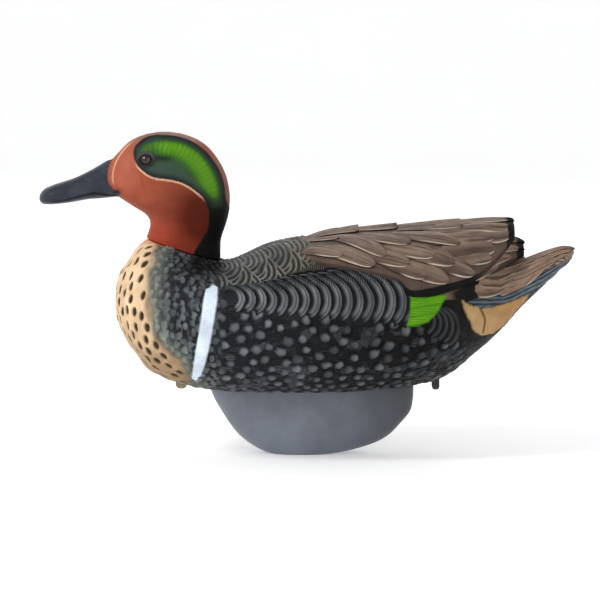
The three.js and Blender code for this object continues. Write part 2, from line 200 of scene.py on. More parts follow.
def line_distance(x, y, line):
    """Distance to an open line, and how far along it the nearest point is, from 0 to 1."""
    line = np.asarray(line, float)
    lengths = np.hypot(*np.diff(line, axis=0).T)
    starts = np.concatenate([[0], np.cumsum(lengths)])
    nearest = np.full(len(x), 1e9)
    along = np.zeros(len(x))
    for k, (start, end) in enumerate(zip(line[:-1], line[1:])):
        d, t = segment_distance(x, y, start, end)
        closer = d < nearest
        nearest = np.where(closer, d, nearest)
        along = np.where(closer, (starts[k] + t * lengths[k]) / starts[-1], along)
    return nearest, along


def scattered(points, region, spacing, seed):
    """Well spaced places picked from points where region is true."""
    rng = np.random.default_rng(seed)
    chosen = []
    for i in rng.permutation(np.flatnonzero(region)):
        p = points[i]
        if all(np.sum((p - q) ** 2) > spacing**2 for q in chosen):
            chosen.append(p)
    return np.array(chosen)


# ---------------------------------------------------------------- mesh tools
def grid_faces(rows, columns, wrap=False):
    r, c = np.meshgrid(np.arange(rows - 1), np.arange(columns if wrap else columns - 1), indexing="ij")
    a = (r * columns + c).ravel()
    b = (r * columns + (c + 1) % columns).ravel()
    return np.stack([a, b, b + columns, a + columns], axis=1)


def reversed_faces(faces):
    return [face[::-1] for face in faces]


def make_object(name, points, faces, attributes, material=None):
    """A smooth mesh object from points in millimetres, faces, and numbers or colours for every point."""
    mesh = bpy.data.meshes.new(name)
    mesh.from_pydata((np.asarray(points) * MM).tolist(), [], [list(map(int, f)) for f in faces])
    for key, values in attributes.items():
        values = np.asarray(values, np.float32)
        if values.ndim == 2:
            layer = mesh.attributes.new(key, "FLOAT_COLOR", "POINT")
            rgba = np.concatenate([values, np.ones((len(values), 1), np.float32)], axis=1)
            layer.data.foreach_set("color", rgba.ravel())
        else:
            layer = mesh.attributes.new(key, "FLOAT", "POINT")
            layer.data.foreach_set("value", values)
    mesh.polygons.foreach_set("use_smooth", [True] * len(mesh.polygons))
    mesh.update()
    if material:
        mesh.materials.append(material)
    piece = bpy.data.objects.new(name, mesh)
    bpy.context.collection.objects.link(piece)
    return piece


def mirrored(name, sign, points, faces, attributes, material):
    """A piece for the side with that sign, made from the left side's points and faces."""
    turned = faces if sign > 0 else reversed_faces(faces)
    return make_object(name, points * np.array([sign, 1, 1]), turned, attributes, material)


def paint_attributes(colour, barbs, barb_depth):
    return {"paint": np.clip(colour, *PAINT_RANGE), "barbs": barbs, "barb_depth": barb_depth}


def face_outwards(mesh):
    work = bmesh.new()
    work.from_mesh(mesh)
    bmesh.ops.recalc_face_normals(work, faces=work.faces)
    work.to_mesh(mesh)
    work.free()


def grid_normals(grid):
    normal = np.cross(np.gradient(grid, axis=0), np.gradient(grid, axis=1))
    return normal / np.maximum(np.linalg.norm(normal, axis=2, keepdims=True), 1e-9)


def linear(*srgb):
    """A colour given as 0 to 255 screen values, as linear numbers."""
    c = np.array(srgb, float) / 255
    return np.where(c <= 0.04045, c / 12.92, ((c + 0.055) / 1.055) ** 2.4)


def blend(under, over, amount):
    """One colour, or one per point, laid over another by each point's amount."""
    return under + (over - under) * np.asarray(amount)[:, None]


# ---------------------------------------------------------------- material tools
class Shader:
    """A small helper that wires one procedural material."""

    def __init__(self, name, roughness=0.6):
        self.material = bpy.data.materials.new(name)
        self.material.use_nodes = True
        self.tree = self.material.node_tree
        self.surface = self.tree.nodes["Principled BSDF"]
        self.surface.inputs["Roughness"].default_value = roughness
        self.plain("Specular IOR Level", 0.35)
        self.place = self.node("ShaderNodeTexCoord").outputs["Object"]

    def node(self, kind, **settings):
        made = self.tree.nodes.new(kind)
        for key, value in settings.items():
            setattr(made, key, value)
        return made

    def plain(self, name, value):
        self.surface.inputs[name].default_value = value

    def put(self, socket, value):
        if isinstance(value, bpy.types.NodeSocket):
            self.tree.links.new(value, socket)
        elif isinstance(value, (int, float)):
            socket.default_value = value
        else:
            socket.default_value = (*[float(v) for v in value], 1)[: len(socket.default_value)]

    def attribute(self, name, colour=False):
        made = self.node("ShaderNodeAttribute", attribute_name=name)
        return made.outputs["Color" if colour else "Fac"]

    def math(self, operation, a, b=0.0, c=0.0):
        made = self.node("ShaderNodeMath", operation=operation)
        for socket, value in zip(made.inputs, (a, b, c)):
            self.put(socket, value)
        return made.outputs[0]

    def remap(self, value, low, high, to_low=0.0, to_high=1.0):
        made = self.node("ShaderNodeMapRange", interpolation_type="SMOOTHSTEP")
        for socket, v in zip(made.inputs, (value, low, high, to_low, to_high)):
            self.put(socket, v)
        return made.outputs[0]

    def mix(self, amount, under, over, mode="MIX"):
        made = self.node("ShaderNodeMix", data_type="RGBA", blend_type=mode)
        self.put(made.inputs["Factor"], amount)
        self.put(made.inputs["A"], under)
        self.put(made.inputs["B"], over)
        return made.outputs["Result"]

    def stretched(self, x, y, z):
        made = self.node("ShaderNodeMapping")
        self.tree.links.new(self.place, made.inputs["Vector"])
        made.inputs["Scale"].default_value = (x, y, z)
        return made.outputs[0]

    def noise(self, per_metre, detail=3.0, vector=None, roughness=0.6):
        made = self.node("ShaderNodeTexNoise")
        self.tree.links.new(vector or self.place, made.inputs["Vector"])
        made.inputs["Scale"].default_value = per_metre
        made.inputs["Detail"].default_value = detail
        made.inputs["Roughness"].default_value = roughness
        return made.outputs["Fac"]

    def scaled_paint(self, tone):
        """Every point's own paint colour, lightened or darkened."""
        made = self.node("ShaderNodeVectorMath", operation="SCALE")
        self.tree.links.new(self.attribute("paint", colour=True), made.inputs[0])
        self.tree.links.new(tone, made.inputs["Scale"])
        return made.outputs[0]

    def bump(self, height, distance_mm, strength=1.0):
        made = self.node("ShaderNodeBump")
        made.inputs["Strength"].default_value = strength
        made.inputs["Distance"].default_value = distance_mm * MM
        self.put(made.inputs["Height"], height)
        if self.surface.inputs["Normal"].is_linked:
            self.tree.links.new(self.surface.inputs["Normal"].links[0].from_socket, made.inputs["Normal"])
        self.tree.links.new(made.outputs[0], self.surface.inputs["Normal"])

    def set(self, **sockets):
        for key, value in sockets.items():
            self.put(self.surface.inputs[key.replace("_", " ").title()], value)
        return self.material


def floor_material():
    s = Shader("floor_paper", 0.9)
    tone = s.mix(s.noise(6, 2), (0.88, 0.88, 0.88), (0.92, 0.92, 0.92))
    s.bump(s.noise(300, 2), 0.05, 0.2)
    s.plain("Emission Color", (1, 1, 1, 1))
    s.plain("Emission Strength", 0.3)
    return s.set(base_color=tone)


def hatched_paint_material():
    """The body's paint, with fine moulded barbs drawn across the surface's own barb numbers."""
    s = Shader("barbed_paint", 0.62)
    s.plain("Specular IOR Level", 0.1)
    wobble = s.math("MULTIPLY", s.noise(300, 2), 2.5)
    turns = s.math("MULTIPLY", s.attribute("barbs"), 6.2832)
    wave = s.math("SINE", s.math("ADD", turns, wobble))
    depth = s.attribute("barb_depth")
    gaps = s.math("SUBTRACT", 1.0, s.remap(wave, -0.6, 0.9))
    shade = s.math("SUBTRACT", 1.0, s.math("MULTIPLY", depth, gaps))
    patchy = s.remap(s.noise(90, 3), 0.25, 0.75, 0.86, 1.14)
    grain = s.remap(s.noise(1500, 2), 0.3, 0.7, 0.88, 1.12)
    tone = s.math("MULTIPLY", s.math("MULTIPLY", patchy, grain), shade)
    rough = s.remap(s.noise(260, 3), 0.3, 0.7, 0.45, 0.7)
    s.bump(s.noise(1400, 3), 0.2, 0.35)
    s.bump(s.math("MULTIPLY", depth, wave), 0.22, 0.8)
    return s.set(base_color=s.scaled_paint(tone), roughness=rough)


# ---------------------------------------------------------------- shapes shared by several pieces
# Body stations, breast to tail: y, top, bottom, half width, height of the widest point, squareness
BODY = [
    [-119.2, 95.6, 95.4, 0.2, 95.5, 2.1],
    [-118.3, 104, 87, 13, 95, 2.1],
    [-115.6, 113.6, 77.6, 24, 94, 2.1],
    [-111, 120.6, 70, 34, 93, 2.15],
    [-104.5, 129.2, 60.5, 45, 91, 2.2],
    [-96, 134.5, 52, 54, 89, 2.2],
    [-84, 133, 46.5, 61, 87, 2.25],
    [-66, 126, 42, 66.5, 86, 2.3],
    [-49, 119.5, 40.2, 69, 86, 2.3],
    [-20, 131, 39.6, 70.5, 87, 2.3],
    [20, 137, 39.6, 70, 88, 2.3],
    [58, 137, 43, 64, 90, 2.25],
    [84, 133, 48.4, 54, 92, 2.2],
    [106, 126.5, 64.5, 41.5, 97, 2.1],
    [120, 121, 77, 34, 102, 1.9],
    [133, 120.5, 91.5, 29, 107, 1.75],
    [146, 124.5, 104, 25, 114, 1.65],
    [157, 127.4, 114.5, 19, 120.5, 1.6],
    [163, 127.2, 120, 11.5, 124, 1.7],
    [165.1, 126.4, 124.4, 4, 125.4, 1.8],
    [165.3, 125.5, 125.3, 0.2, 125.4, 1.8],
]
# Folded wing, one side: y, top, height of the section's widest point, half width, height of the
# outer edge, squareness, depth of the edge
WING = [
    [-6, 131.6, 87.6, 70.2, 127, 2.3, 3],
    [8, 135.8, 87.8, 70.5, 124.5, 2.3, 3],
    [22, 138.6, 88, 70.5, 122.4, 2.3, 3],
    [40, 140, 89, 68.4, 119, 2.3, 3],
    [54, 140.8, 90, 66, 115, 2.3, 3.5],
    [61, 141.2, 90.3, 64.2, 108.5, 2.3, 4.5],
    [68, 141.7, 91.5, 62, 107.6, 2.3, 5],
    [83, 143, 94.5, 56.5, 110.2, 2.3, 5],
    [101, 144.4, 102, 45.2, 114.4, 2.25, 3.5],
    [112, 145, 112, 35.5, 121, 2.2, 3],
    [120, 145, 121, 26, 128.5, 2.2, 3],
    [126, 144.8, 128, 20, 134, 2.2, 1.5],
    [128, 143.8, 131, 18, 136.4, 2.2, 1],
]
# Long flight feathers below the wing's end, in the same columns
FLIGHT = [
    [92, 132, 100, 45, 106, 2.2, 4],
    [104, 134, 106, 38, 111, 2.2, 4],
    [114, 135.4, 112, 30, 117, 2.1, 3.5],
    [122, 135.2, 117, 22, 121, 2.0, 3],
    [129, 133.2, 120, 15.5, 123.5, 2.0, 2],
    [133, 131.2, 121.5, 11.5, 124.8, 2.0, 1.5],
    [134.3, 130, 122, 9.5, 125.2, 2.0, 1.5],
]
WING_RIDGE = 11  # how far from the middle the folded wing is highest
WING_GROOVE = 3.2  # depth of the groove between the two wings
NECK_SEAM = np.array([0, -77.1, 127.6])
NECK_TILT = 0.3016
NECK_AXIS = np.array([0, math.sin(NECK_TILT), math.cos(NECK_TILT)])
COLLAR_RADIUS = 26.5
SEAM_GAP = 0.3
BODY_ROWS = 540
BODY_COLUMNS = 250


def section_points(rows, angles):
    """Left-hand section points for each row: a grid of [row, angle, xyz]."""
    y, top, bottom, width, middle, square = [column[:, None] for column in rows.T]
    across, up = np.cos(angles)[None], np.sin(angles)[None]
    x = width * np.abs(across) ** (2 / square)
    lift = np.sign(up) * np.abs(up) ** (2 / square)
    z = middle + np.where(up > 0, top - middle, middle - bottom) * lift
    return np.stack([x, np.broadcast_to(y, x.shape), z], axis=2)


def seen_columns(grid):
    """Spaces each row's points along its section, closer together where the surface shows."""
    out = np.empty((len(grid), BODY_COLUMNS, 3))
    for r, row in enumerate(grid):
        middle = (row[1:] + row[:-1]) / 2
        under_wing = step(row[:-1, 1], 10, 50) * (1 - step(row[:-1, 1], 90, 125))
        hidden = 1 - step(middle[:, 2], 44, 50) + under_wing * step(middle[:, 2], 122, 128)
        weight = 1 - 0.65 * hidden
        steps = np.linalg.norm(np.diff(row, axis=0), axis=1) * weight
        length = np.concatenate([[0], np.cumsum(steps)])
        at = np.linspace(0, length[-1], BODY_COLUMNS)
        for k in range(3):
            out[r, :, k] = np.interp(at, length, row[:, k])
    return out


def fold_sections(table, ridge, y, count=48):
    """Left-hand sections at each y, from the ridge to the outer edge, with the distances along them."""
    top, middle, width, edge, square = [c[:, None] for c in rows_at(table, y)[:, 1:6].T]
    share = np.clip((edge - middle) / (top - middle), 0, 1)
    phi = np.arccos(share ** (square / 2)) * np.linspace(0, 1, count)[None]
    ridge = np.minimum(ridge, width * 0.35)
    x = ridge + (width - ridge) * np.sin(phi) ** (2 / square)
    z = middle + (top - middle) * np.cos(phi) ** (2 / square)
    points = np.stack([x, np.broadcast_to(y[:, None], x.shape), z], axis=2)
    steps = np.linalg.norm(np.diff(points, axis=1), axis=2)
    return points, np.concatenate([np.zeros((len(y), 1)), np.cumsum(steps, axis=1)], axis=1)


def fold_point(table, ridge, y, s):
    """The point at a distance s outwards from the ridge; below 0 it lies inboard, in the groove."""
    points, length = fold_sections(table, ridge, y)
    index = np.clip((length < s[:, None]).sum(axis=1) - 1, 0, length.shape[1] - 2)
    rows = np.arange(len(y))
    before, after = length[rows, index], length[rows, index + 1]
    share = np.clip((s - before) / np.maximum(after - before, 1e-6), 0, 1.5)[:, None]
    out = points[rows, index] * (1 - share) + points[rows, index + 1] * share
    inboard = np.clip(-s / max(ridge, 1.0), 0, 1)
    inner = points[:, 0].copy()
    inner[:, 0] = inner[:, 0] * (1 - inboard) + 0.4
    inner[:, 2] -= (WING_GROOVE if ridge else 0) * inboard**2
    return np.where((s < 0)[:, None], inner, out)


def fold_place(table, ridge, y, s):
    """Points and outward normals on a folded wing or tail."""
    here = fold_point(table, ridge, y, s)
    along = fold_point(table, ridge, y + 0.8, s) - fold_point(table, ridge, y - 0.8, s)
    across = fold_point(table, ridge, y, s + 0.8) - fold_point(table, ridge, y, s - 0.8)
    normal = np.cross(along, across)
    normal *= np.sign(normal[:, 2:3] + normal[:, :1] + 1e-9)
    return here, normal / np.maximum(np.linalg.norm(normal, axis=1, keepdims=True), 1e-9)


def fold_distance(table, ridge, y, h):
    """How far outwards from the ridge the side-plane point (y, h) lies."""
    points, length = fold_sections(table, ridge, np.array([float(y)]))
    seen = points[0, :, 2] - LEAN * points[0, :, 0]
    if h > seen[0]:
        return -(h - seen[0]) * 2.5
    return float(np.interp(-h, -seen, length[0]))


# ---------------------------------------------------------------- the body's relief and paint
WHITE_BAR = [
    (-61.5, 102), (-58, 104), (-54.5, 103.6), (-54.3, 95.6), (-56.3, 83), (-58.4, 70.7),
    (-61.5, 58.3), (-64.2, 51), (-68, 46.5), (-70.4, 48), (-68.6, 58.3), (-66.5, 70.7),
    (-64.2, 83), (-62.8, 95.6),
]
CREAM_EDGE = [  # height, y: the airbrushed edge of the spotted breast
    (43, -73), (49, -75), (55, -78), (61.5, -82.5), (67.5, -88), (72, -92.5), (80, -96.2),
    (89.5, -98), (108, -97.8), (117, -96.3), (123.5, -94.5), (131, -93),
]
SPECULUM = [
    (62.6, 99), (65.3, 100), (85.2, 99.3), (79, 88.2), (73.4, 82.4), (67, 80), (60.3, 79.6), (62.2, 89.4),
]
TAN = [
    (94.5, 95.6), (97, 93.8), (106.3, 90.6), (120, 93.2), (136.7, 99.6), (132.4, 92.6), (120, 78.2),
    (113.7, 75), (106.3, 73.8), (101.3, 78), (96.4, 88),
]
TAN_SHAFT = [(105.5, 90.5), (108.5, 84), (107.5, 76)]
STEEL = [
    (98.2, 94.6), (164.6, 121.8), (159, 114.4), (147.8, 105.4), (136.7, 99.6), (120, 93.2), (106.3, 90.6),
]
BROWN_FRONT = [(-4, 133), (6, 128), (18, 122), (33, 115), (52, 109), (63, 101.5)]
FLANK_FEATHERS = 17
COBBLE_SPACING = 7.3
LUMP_SPACING = 4.3
SPOT_SPACING = 7.8


class Skin:
    """Relief in millimetres, colour and barbs of one surface, worked out point by point."""

    def __init__(self, points, slow, fine):
        self.points = points
        self.x, self.y, self.z = points.T
        self.h = self.z - LEAN * np.abs(self.x)
        self.slow, self.fine = slow, fine
        self.relief = np.zeros(len(points))
        self.barbs = np.zeros(len(points))
        self.barb_depth = np.zeros(len(points))

    def varied(self, amount, *srgb):
        """A colour that gets lighter and darker with the slow noise."""
        return linear(*srgb) * (1 + amount * self.slow[:, None])

    def paint(self, colour, amount):
        """Lays a colour, given as screen values or as an array, over part of the surface."""
        self.colour = blend(self.colour, linear(*colour) if isinstance(colour, tuple) else colour, amount)

    def press(self, relief, amount):
        """Replaces the relief over part of the surface."""
        self.relief = self.relief * (1 - amount) + relief * amount

    def hatch(self, where, barbs, depth):
        self.barbs = np.where(where, barbs, self.barbs)
        self.barb_depth = np.where(where, depth, self.barb_depth)

    def lay(self, colour, relief, amount):
        """New colour and relief over part of the surface, without barbs."""
        self.paint(colour, amount)
        self.press(relief, amount)
        self.barb_depth = self.barb_depth * (1 - amount)

    def cover(self, where, colour, relief, barbs, depth):
        """Sharp-edged cover of colour, relief and barbs."""
        self.colour = np.where(where[:, None], colour, self.colour)
        self.relief = np.where(where, relief, self.relief)
        self.hatch(where, barbs, depth)


def scallops(y, h, centres, along, up, lean=0.0, turn=0.0):
    """Overlapping oval feather ends; the first centre lies on top. Returns depth from the rim and angle."""
    depth = np.full(len(y), -1.0)
    angle = np.zeros(len(y))
    for (cy, ch), a, b in zip(centres, along, up):
        dy, dh = y - cy, h - ch
        u = dy * math.cos(turn) + dh * math.sin(turn) + lean * np.maximum(dh, 0) ** 2 / 16
        v = dh * math.cos(turn) - dy * math.sin(turn)
        rho = np.hypot(u / a, v / b)
        take = (depth < 0) & (rho < 1)
        depth = np.where(take, (1 - rho) * a, depth)
        angle = np.where(take, np.arctan2(v / b, u / a), angle)
    return depth, angle


def nearest_lump(points, centres, window, measure):
    """How far every point is from its nearest lump, 1 at the rim, and the tone of that lump there."""
    nearest = np.full(len(points), 9.0)
    tone = np.zeros(len(points))
    for k, centre in enumerate(centres):
        near = np.flatnonzero(np.all(np.abs(points - centre) < window, axis=1))
        reach, value = measure(k, points[near] - centre, near)
        tone[near] = np.where(reach < nearest[near], value, tone[near])
        nearest[near] = np.minimum(nearest[near], reach)
    return nearest, tone


def paint_cobbles(skin, rng, rearward):
    """Rounded lumps on a dark, wrinkled and hatched ground."""
    x, y, z, h = skin.x, skin.y, skin.z, skin.h
    top = 88 - 0.09 * np.clip(y + 40, 0, 200) + 2 * np.sin(y / 7) + 10 * (1 - step(y, -42, -37))
    room = (y > -52) & (y < 100) & (h < top) & (z < 100) & (x > 6)
    centres = scattered(skin.points, room, COBBLE_SPACING, 3)
    size = rng.uniform(2.5, 3.6, len(centres))
    tilt = rng.uniform(-0.6, 1.1, len(centres))
    tone = rng.uniform(0.25, 0.95, len(centres))

    def measure(k, offset, near):
        dx, dy, dz = offset.T
        down = np.where(dz != 0, np.sign(dz), 1) * np.hypot(dz, dx)
        u = (dy * math.cos(tilt[k]) + down * math.sin(tilt[k])) / (1.1 * size[k])
        v = (-dy * math.sin(tilt[k]) + down * math.cos(tilt[k])) / (0.97 * size[k])
        return np.hypot(u, v) + 0.2 * skin.fine[near], tone[k] * (0.55 + (0.3 * dy + 0.18 * dz) / size[k])

    reach, lit_side = nearest_lump(skin.points, centres, 6, measure)
    dome = np.clip(1 - reach**2, 0, 1) ** 0.7
    ragged = noise(skin.points * np.array([1, 0.8, 1]), 7.5, 33) + 0.35 * noise(skin.points, 2.4, 35)
    patch = step(ragged, 0.42, 0.62) * room * (1 - step(dome, 0, 0.3))
    low_rear = 1 - 0.7 * step(y, 40, 90) * (1 - step(h, 55, 70))
    skin.relief += (1.9 * dome + 0.8 * patch) * low_rear * (0.35 + 0.65 * step(z, 40.5, 48))
    wrinkle = noise(skin.points * np.array([1, 0.7, 1.2]), 1.8, 27)
    skin.relief += 0.22 * wrinkle * (dome < 0.05)
    skin.paint((66, 68, 72), 0.55 * room * step(wrinkle, 0.15, 0.8) * (1 - rearward))
    skin.paint((78, 81, 85), 0.8 * patch * (1 - 0.5 * rearward))
    skin.paint((130, 134, 139), np.clip(step(dome, 0.1, 1.0) * lit_side * (1.15 - 0.4 * rearward), 0, 1))
    skin.hatch(room & (dome < 0.05), h / 1.3 + skin.slow * 0.9, 0.55)


def paint_crescents(skin, rearward):
    """The flank's tall overlapping feathers: two pale lines each, and tops cut into barbs."""
    y, h = skin.y, skin.h
    numbers = range(FLANK_FEATHERS)
    places = [(-46.5 + 6.35 * i, 96 - 0.05 * i) for i in numbers]
    tall = np.where(h > 96, 96 + (h - 96) / (1.15 + 0.004 * (y + 40)), h)
    along, up = [9.5 + 0.16 * i for i in numbers], [9 + 0.52 * i for i in numbers]
    depth, angle = scallops(y, tall + 0.5 * skin.slow, places, along, up, lean=0.8)
    flank = (depth >= 0) & (angle > -1.25) & (angle < 2.4) & (y > -50) & ((y > -38) | (depth < 5))
    uneven = 0.8 + 0.35 * noise(np.stack([y, h * 0.4, skin.x], axis=1), 4, 37)
    rim = step(depth, 0.45, 0.95) * (1 - step(depth, 1.2, 2.1))
    inner = step(depth, 2.0, 2.7) * (1 - step(depth, 3.1, 5.2))
    fade = step(angle, -1.25, -0.8)
    silver = 0.75 + 0.25 * step(h, 84, 108) - 0.25 * rearward
    ring = blend(linear(20, 21, 24), linear(156, 160, 164), (rim + 0.62 * inner) * uneven * fade * silver)
    raised = step(depth, 0.3, 1.5) * (1 - step(depth, 3.2, 5.2)) * (1 - bump_at(depth, 0.4, 0.6))
    skin.cover(flank, ring, 0.2 + 1.5 * raised * fade, angle * 10.5, 0.12 + 0.88 * step(angle, 0.3, 0.95))
    fringe = (~flank) & (y > -34) & (y < 64) & (h > 96) & (h < 122)
    skin.cover(fringe, linear(84, 80, 74), 0.5, y / 1.25 + skin.slow * 0.5, 0.9)


def paint_rear_crescents(skin):
    """Small crescents behind the green patch."""
    numbers = range(5)
    places = [(70.5 + 3.1 * i, 83 - i) for i in numbers]
    depth, angle = scallops(skin.y, skin.h, places, [8 + 0.6 * i for i in numbers], [9 + i for i in numbers])
    ridge = bump_at(depth, 1.3, 0.8)
    grey = blend(linear(14, 14, 15), linear(66, 68, 70), ridge)
    skin.cover((depth >= 0) & (angle > -1.2) & (skin.y > 70), grey, 0.2 + 0.8 * ridge, angle * 10, 0.4)


def paint_mantle(skin):
    """Nested rounded feather edges behind the neck, which open towards the tail."""
    y, h, slow = skin.y, skin.h, skin.slow
    places = [(-66 + 12.5 * i + 6 * row, 112 + 3.9 * i - 5.4 * row) for i in range(5) for row in range(3)]
    reach = [12 + 2.6 * i for i in range(5) for row in range(3)]
    depth = scallops(y, h + 0.6 * slow, places, reach, [0.66 * a for a in reach], turn=-0.16)[0]
    rings = 0.5 + 0.5 * np.cos(np.maximum(depth, 0) * 1.9 - 0.9 + 0.9 * slow)
    rings = np.where(depth < 0, 0.5 + 0.5 * np.cos((h - 0.5 * y) * 2.2 + slow), rings)
    nape = step(h - np.interp(y, [-75, -60, -45, -20, 30], [108, 115, 121, 130, 140]), -1, 1)
    lines = 0.5 + 0.5 * np.cos((h - np.interp(y, [-75, -60, -45, -20], [100, 112, 120, 130])) * 3.0)
    rings = np.clip(rings * (1 - nape) + lines * nape, 0, 1) ** 2.2
    pale = blend(linear(122, 125, 124), linear(122, 117, 104), step(y, -45, 5))
    olive = blend(linear(38, 37, 35), pale, rings * (0.85 + 0.3 * slow)) * (1 + 0.15 * slow[:, None])
    above_edge = h - np.interp(y, [-75, -60, -30, -12, 10, 30], [104, 102.5, 105, 110, 119, 124])
    mantle = step(above_edge, -0.5, 1.5) * ((above_edge > 0) & (y > -76) & (y < 40))
    skin.lay(olive, 0.1 + rings, mantle)


def paint_back(skin):
    """Brown back under the wing feathers, with darker swirls."""
    front = smooth_line(BROWN_FRONT)
    behind = skin.y - np.interp(skin.h, front[::-1, 1], front[::-1, 0])
    brown = step(behind, -2, 3) * (skin.h > 96)
    swirl = noise(np.stack([skin.y * 0.12, skin.h - 0.12 * skin.y, skin.x * 0.3], axis=1), 2.2, 39)
    skin.lay(skin.varied(0.3, 100, 84, 74), 0.35 * swirl, brown)
    skin.paint((54, 42, 36), 0.75 * brown * step(swirl, 0.05, 0.7))


def paint_front_lumps(skin, rng, behind_cream):
    """Grey crumbly feathers between the breast and the white bar."""
    room = (behind_cream > -3) & (skin.y < -50) & (skin.h > 42) & (skin.x > 4)
    centres = scattered(skin.points, room, LUMP_SPACING, 11)
    size = rng.uniform(1.5, 2.5, len(centres))
    tone = rng.uniform(0.35, 1, len(centres))

    def measure(k, offset, near):
        reach = np.linalg.norm(offset * np.array([0.9, 1.1, 0.8]), axis=1) / size[k]
        return reach + 0.6 * skin.fine[near], tone[k] * (0.55 + 0.4 * offset[:, 1] / size[k])

    reach, lit_side = nearest_lump(skin.points, centres, 4, measure)
    lump = np.sqrt(np.clip(1 - reach**2, 0, 1))
    crinkle = noise(skin.points * np.array([1, 1.3, 0.6]), 1.7, 25)
    near_cream = bump_at(behind_cream, 3, 7)
    pale = blend(linear(122, 128, 130), linear(162, 168, 154), near_cream)
    grey = blend(linear(30, 32, 36), linear(84, 90, 90), 0.7 * step(crinkle, 0.1, 0.8))
    grey = blend(grey, linear(128, 136, 126), 0.55 * near_cream)
    grey = blend(grey, pale, np.clip(step(lump, 0.1, 0.6) * lit_side, 0, 1))
    lumpy = step(behind_cream, -3, 8) * (1 - step(skin.y, -56, -50))
    skin.lay(grey, 1.2 * lump + 0.5 * crinkle, lumpy)


def paint_breast(skin, behind_cream):
    """Cream breast with sunk dark spots."""
    sand = blend(linear(150, 122, 90), linear(222, 190, 152), step(skin.z, 45, 100))
    cream = 1 - step(behind_cream + 2.5 * skin.slow, -4, 5)
    skin.lay(sand * (1 + 0.1 * skin.slow[:, None]), 0.7 * skin.slow + 0.15 * skin.fine, cream)
    room = (behind_cream < -2) & (skin.z < 131) & (skin.x > 2.6)
    centres = scattered(skin.points, room, SPOT_SPACING, 8)

    def measure(k, offset, near):
        lean = -0.6 * np.clip((centres[k, 2] - 80) / 40, -0.5, 1)
        down = offset @ (np.array([0, lean, -1]) / math.hypot(lean, 1))
        rest = np.sqrt(np.clip(np.sum(offset * offset, axis=1) - down**2, 0, None))
        return np.hypot(down / 3.2, rest / 2.4), 0

    reach = nearest_lump(skin.points, centres, 4, measure)[0]
    spot = 1 - step(reach, 0.75, 1.15)
    skin.paint(linear(74, 58, 42) * (1 - 0.45 * step(reach, 0.9, 0.5))[:, None], spot)
    skin.relief -= 0.7 * spot


def paint_collar(skin):
    """Black nape running down over the collar, and an orange edge where neck and breast meet."""
    nape = bump_at(skin.y, -61, 12) * bump_at(skin.h, 118, 7)
    skin.paint((7, 7, 7), np.clip(1.6 * nape, 0, 1))
    from_seam = np.linalg.norm(skin.points - NECK_SEAM, axis=1)
    skin.paint((206, 128, 76), 0.6 * (1 - step(from_seam, 25.8, 28)) * step(-skin.y, 80, 90))


def paint_white_bar(skin):
    bar = step(area_distance(skin.y, skin.h, WHITE_BAR), -0.5, 0.5)
    rib = np.sin(skin.h * 4.2)
    skin.paint(linear(212, 223, 234) * (1 + 0.05 * rib[:, None]), bar)
    skin.press(0.9 + 0.12 * rib, bar)


def paint_rear(skin):
    """Black rear, tan patch and steel-grey edge under the tail."""
    y, h = skin.y, skin.h
    behind = y - np.interp(h, [40, 60, 80, 100, 118], [100, 98, 92, 88, 110])
    black = step(behind, -3, 3) * (1 - step(h, 112, 116))
    skin.paint((16, 15, 14), black)
    skin.press(0.12 * skin.fine, black)
    tan = step(area_distance(y, h, TAN) + 0.8 * skin.fine, -0.9, 0.9)
    ochre = blend(linear(174, 144, 100), linear(160, 120, 76), step(y, 98, 128))
    skin.paint(ochre * (1 + 0.12 * skin.slow[:, None]), tan)
    shaft = line_distance(y, h, smooth_line(TAN_SHAFT))[0]
    skin.paint((92, 62, 38), tan * (1 - step(shaft, 0.3, 0.9)))
    skin.relief += 0.5 * tan
    steel = step(area_distance(y, h, STEEL), -0.6, 0.6)
    below = h - np.interp(y, [120, 126, 132, 145, 157, 165], [102.4, 104.3, 107.4, 113.6, 121, 125.4])
    streaks = 0.7 * np.cos(below * 2.4) + 0.5 * noise(skin.points * np.array([1, 0.12, 1]), 1.6, 31)
    skin.paint(blend(linear(44, 51, 57), linear(92, 103, 110), step(streaks, -0.7, 0.8)), steel)
    skin.press(0.35 * streaks, steel)
    skin.barb_depth *= 1 - np.max([black, tan, steel], axis=0)


def paint_speculum(skin):
    """The green wing patch, with dark lines along it."""
    green = step(area_distance(skin.y, skin.h, SPECULUM), -0.4, 0.4)
    vein = bump_at(np.mod(skin.h - 0.16 * skin.y, 5.2), 2.6, 0.4)
    skin.paint(blend(skin.varied(0.1, 88, 152, 18), linear(38, 78, 8), 0.6 * vein), green)
    skin.press(0.1, green)
    skin.hatch(green > 0.5, skin.h / 1.6, 0.22)


def paint_tail_top(skin):
    """Brown upper side of the tail with long stripes."""
    edge = np.interp(skin.y, [110, 120, 132, 145, 157, 165], [103, 102.3, 107, 113.3, 119.2, 124])
    top = step(skin.h - edge, -0.4, 0.4) * step(skin.y, 108, 112)
    stripe = 0.5 + 0.5 * np.sin(2.6 * skin.x + 0.3 * skin.slow)
    skin.paint(blend(linear(88, 72, 64), linear(168, 142, 124), stripe), top)
    skin.press(0.35 * stripe, top)


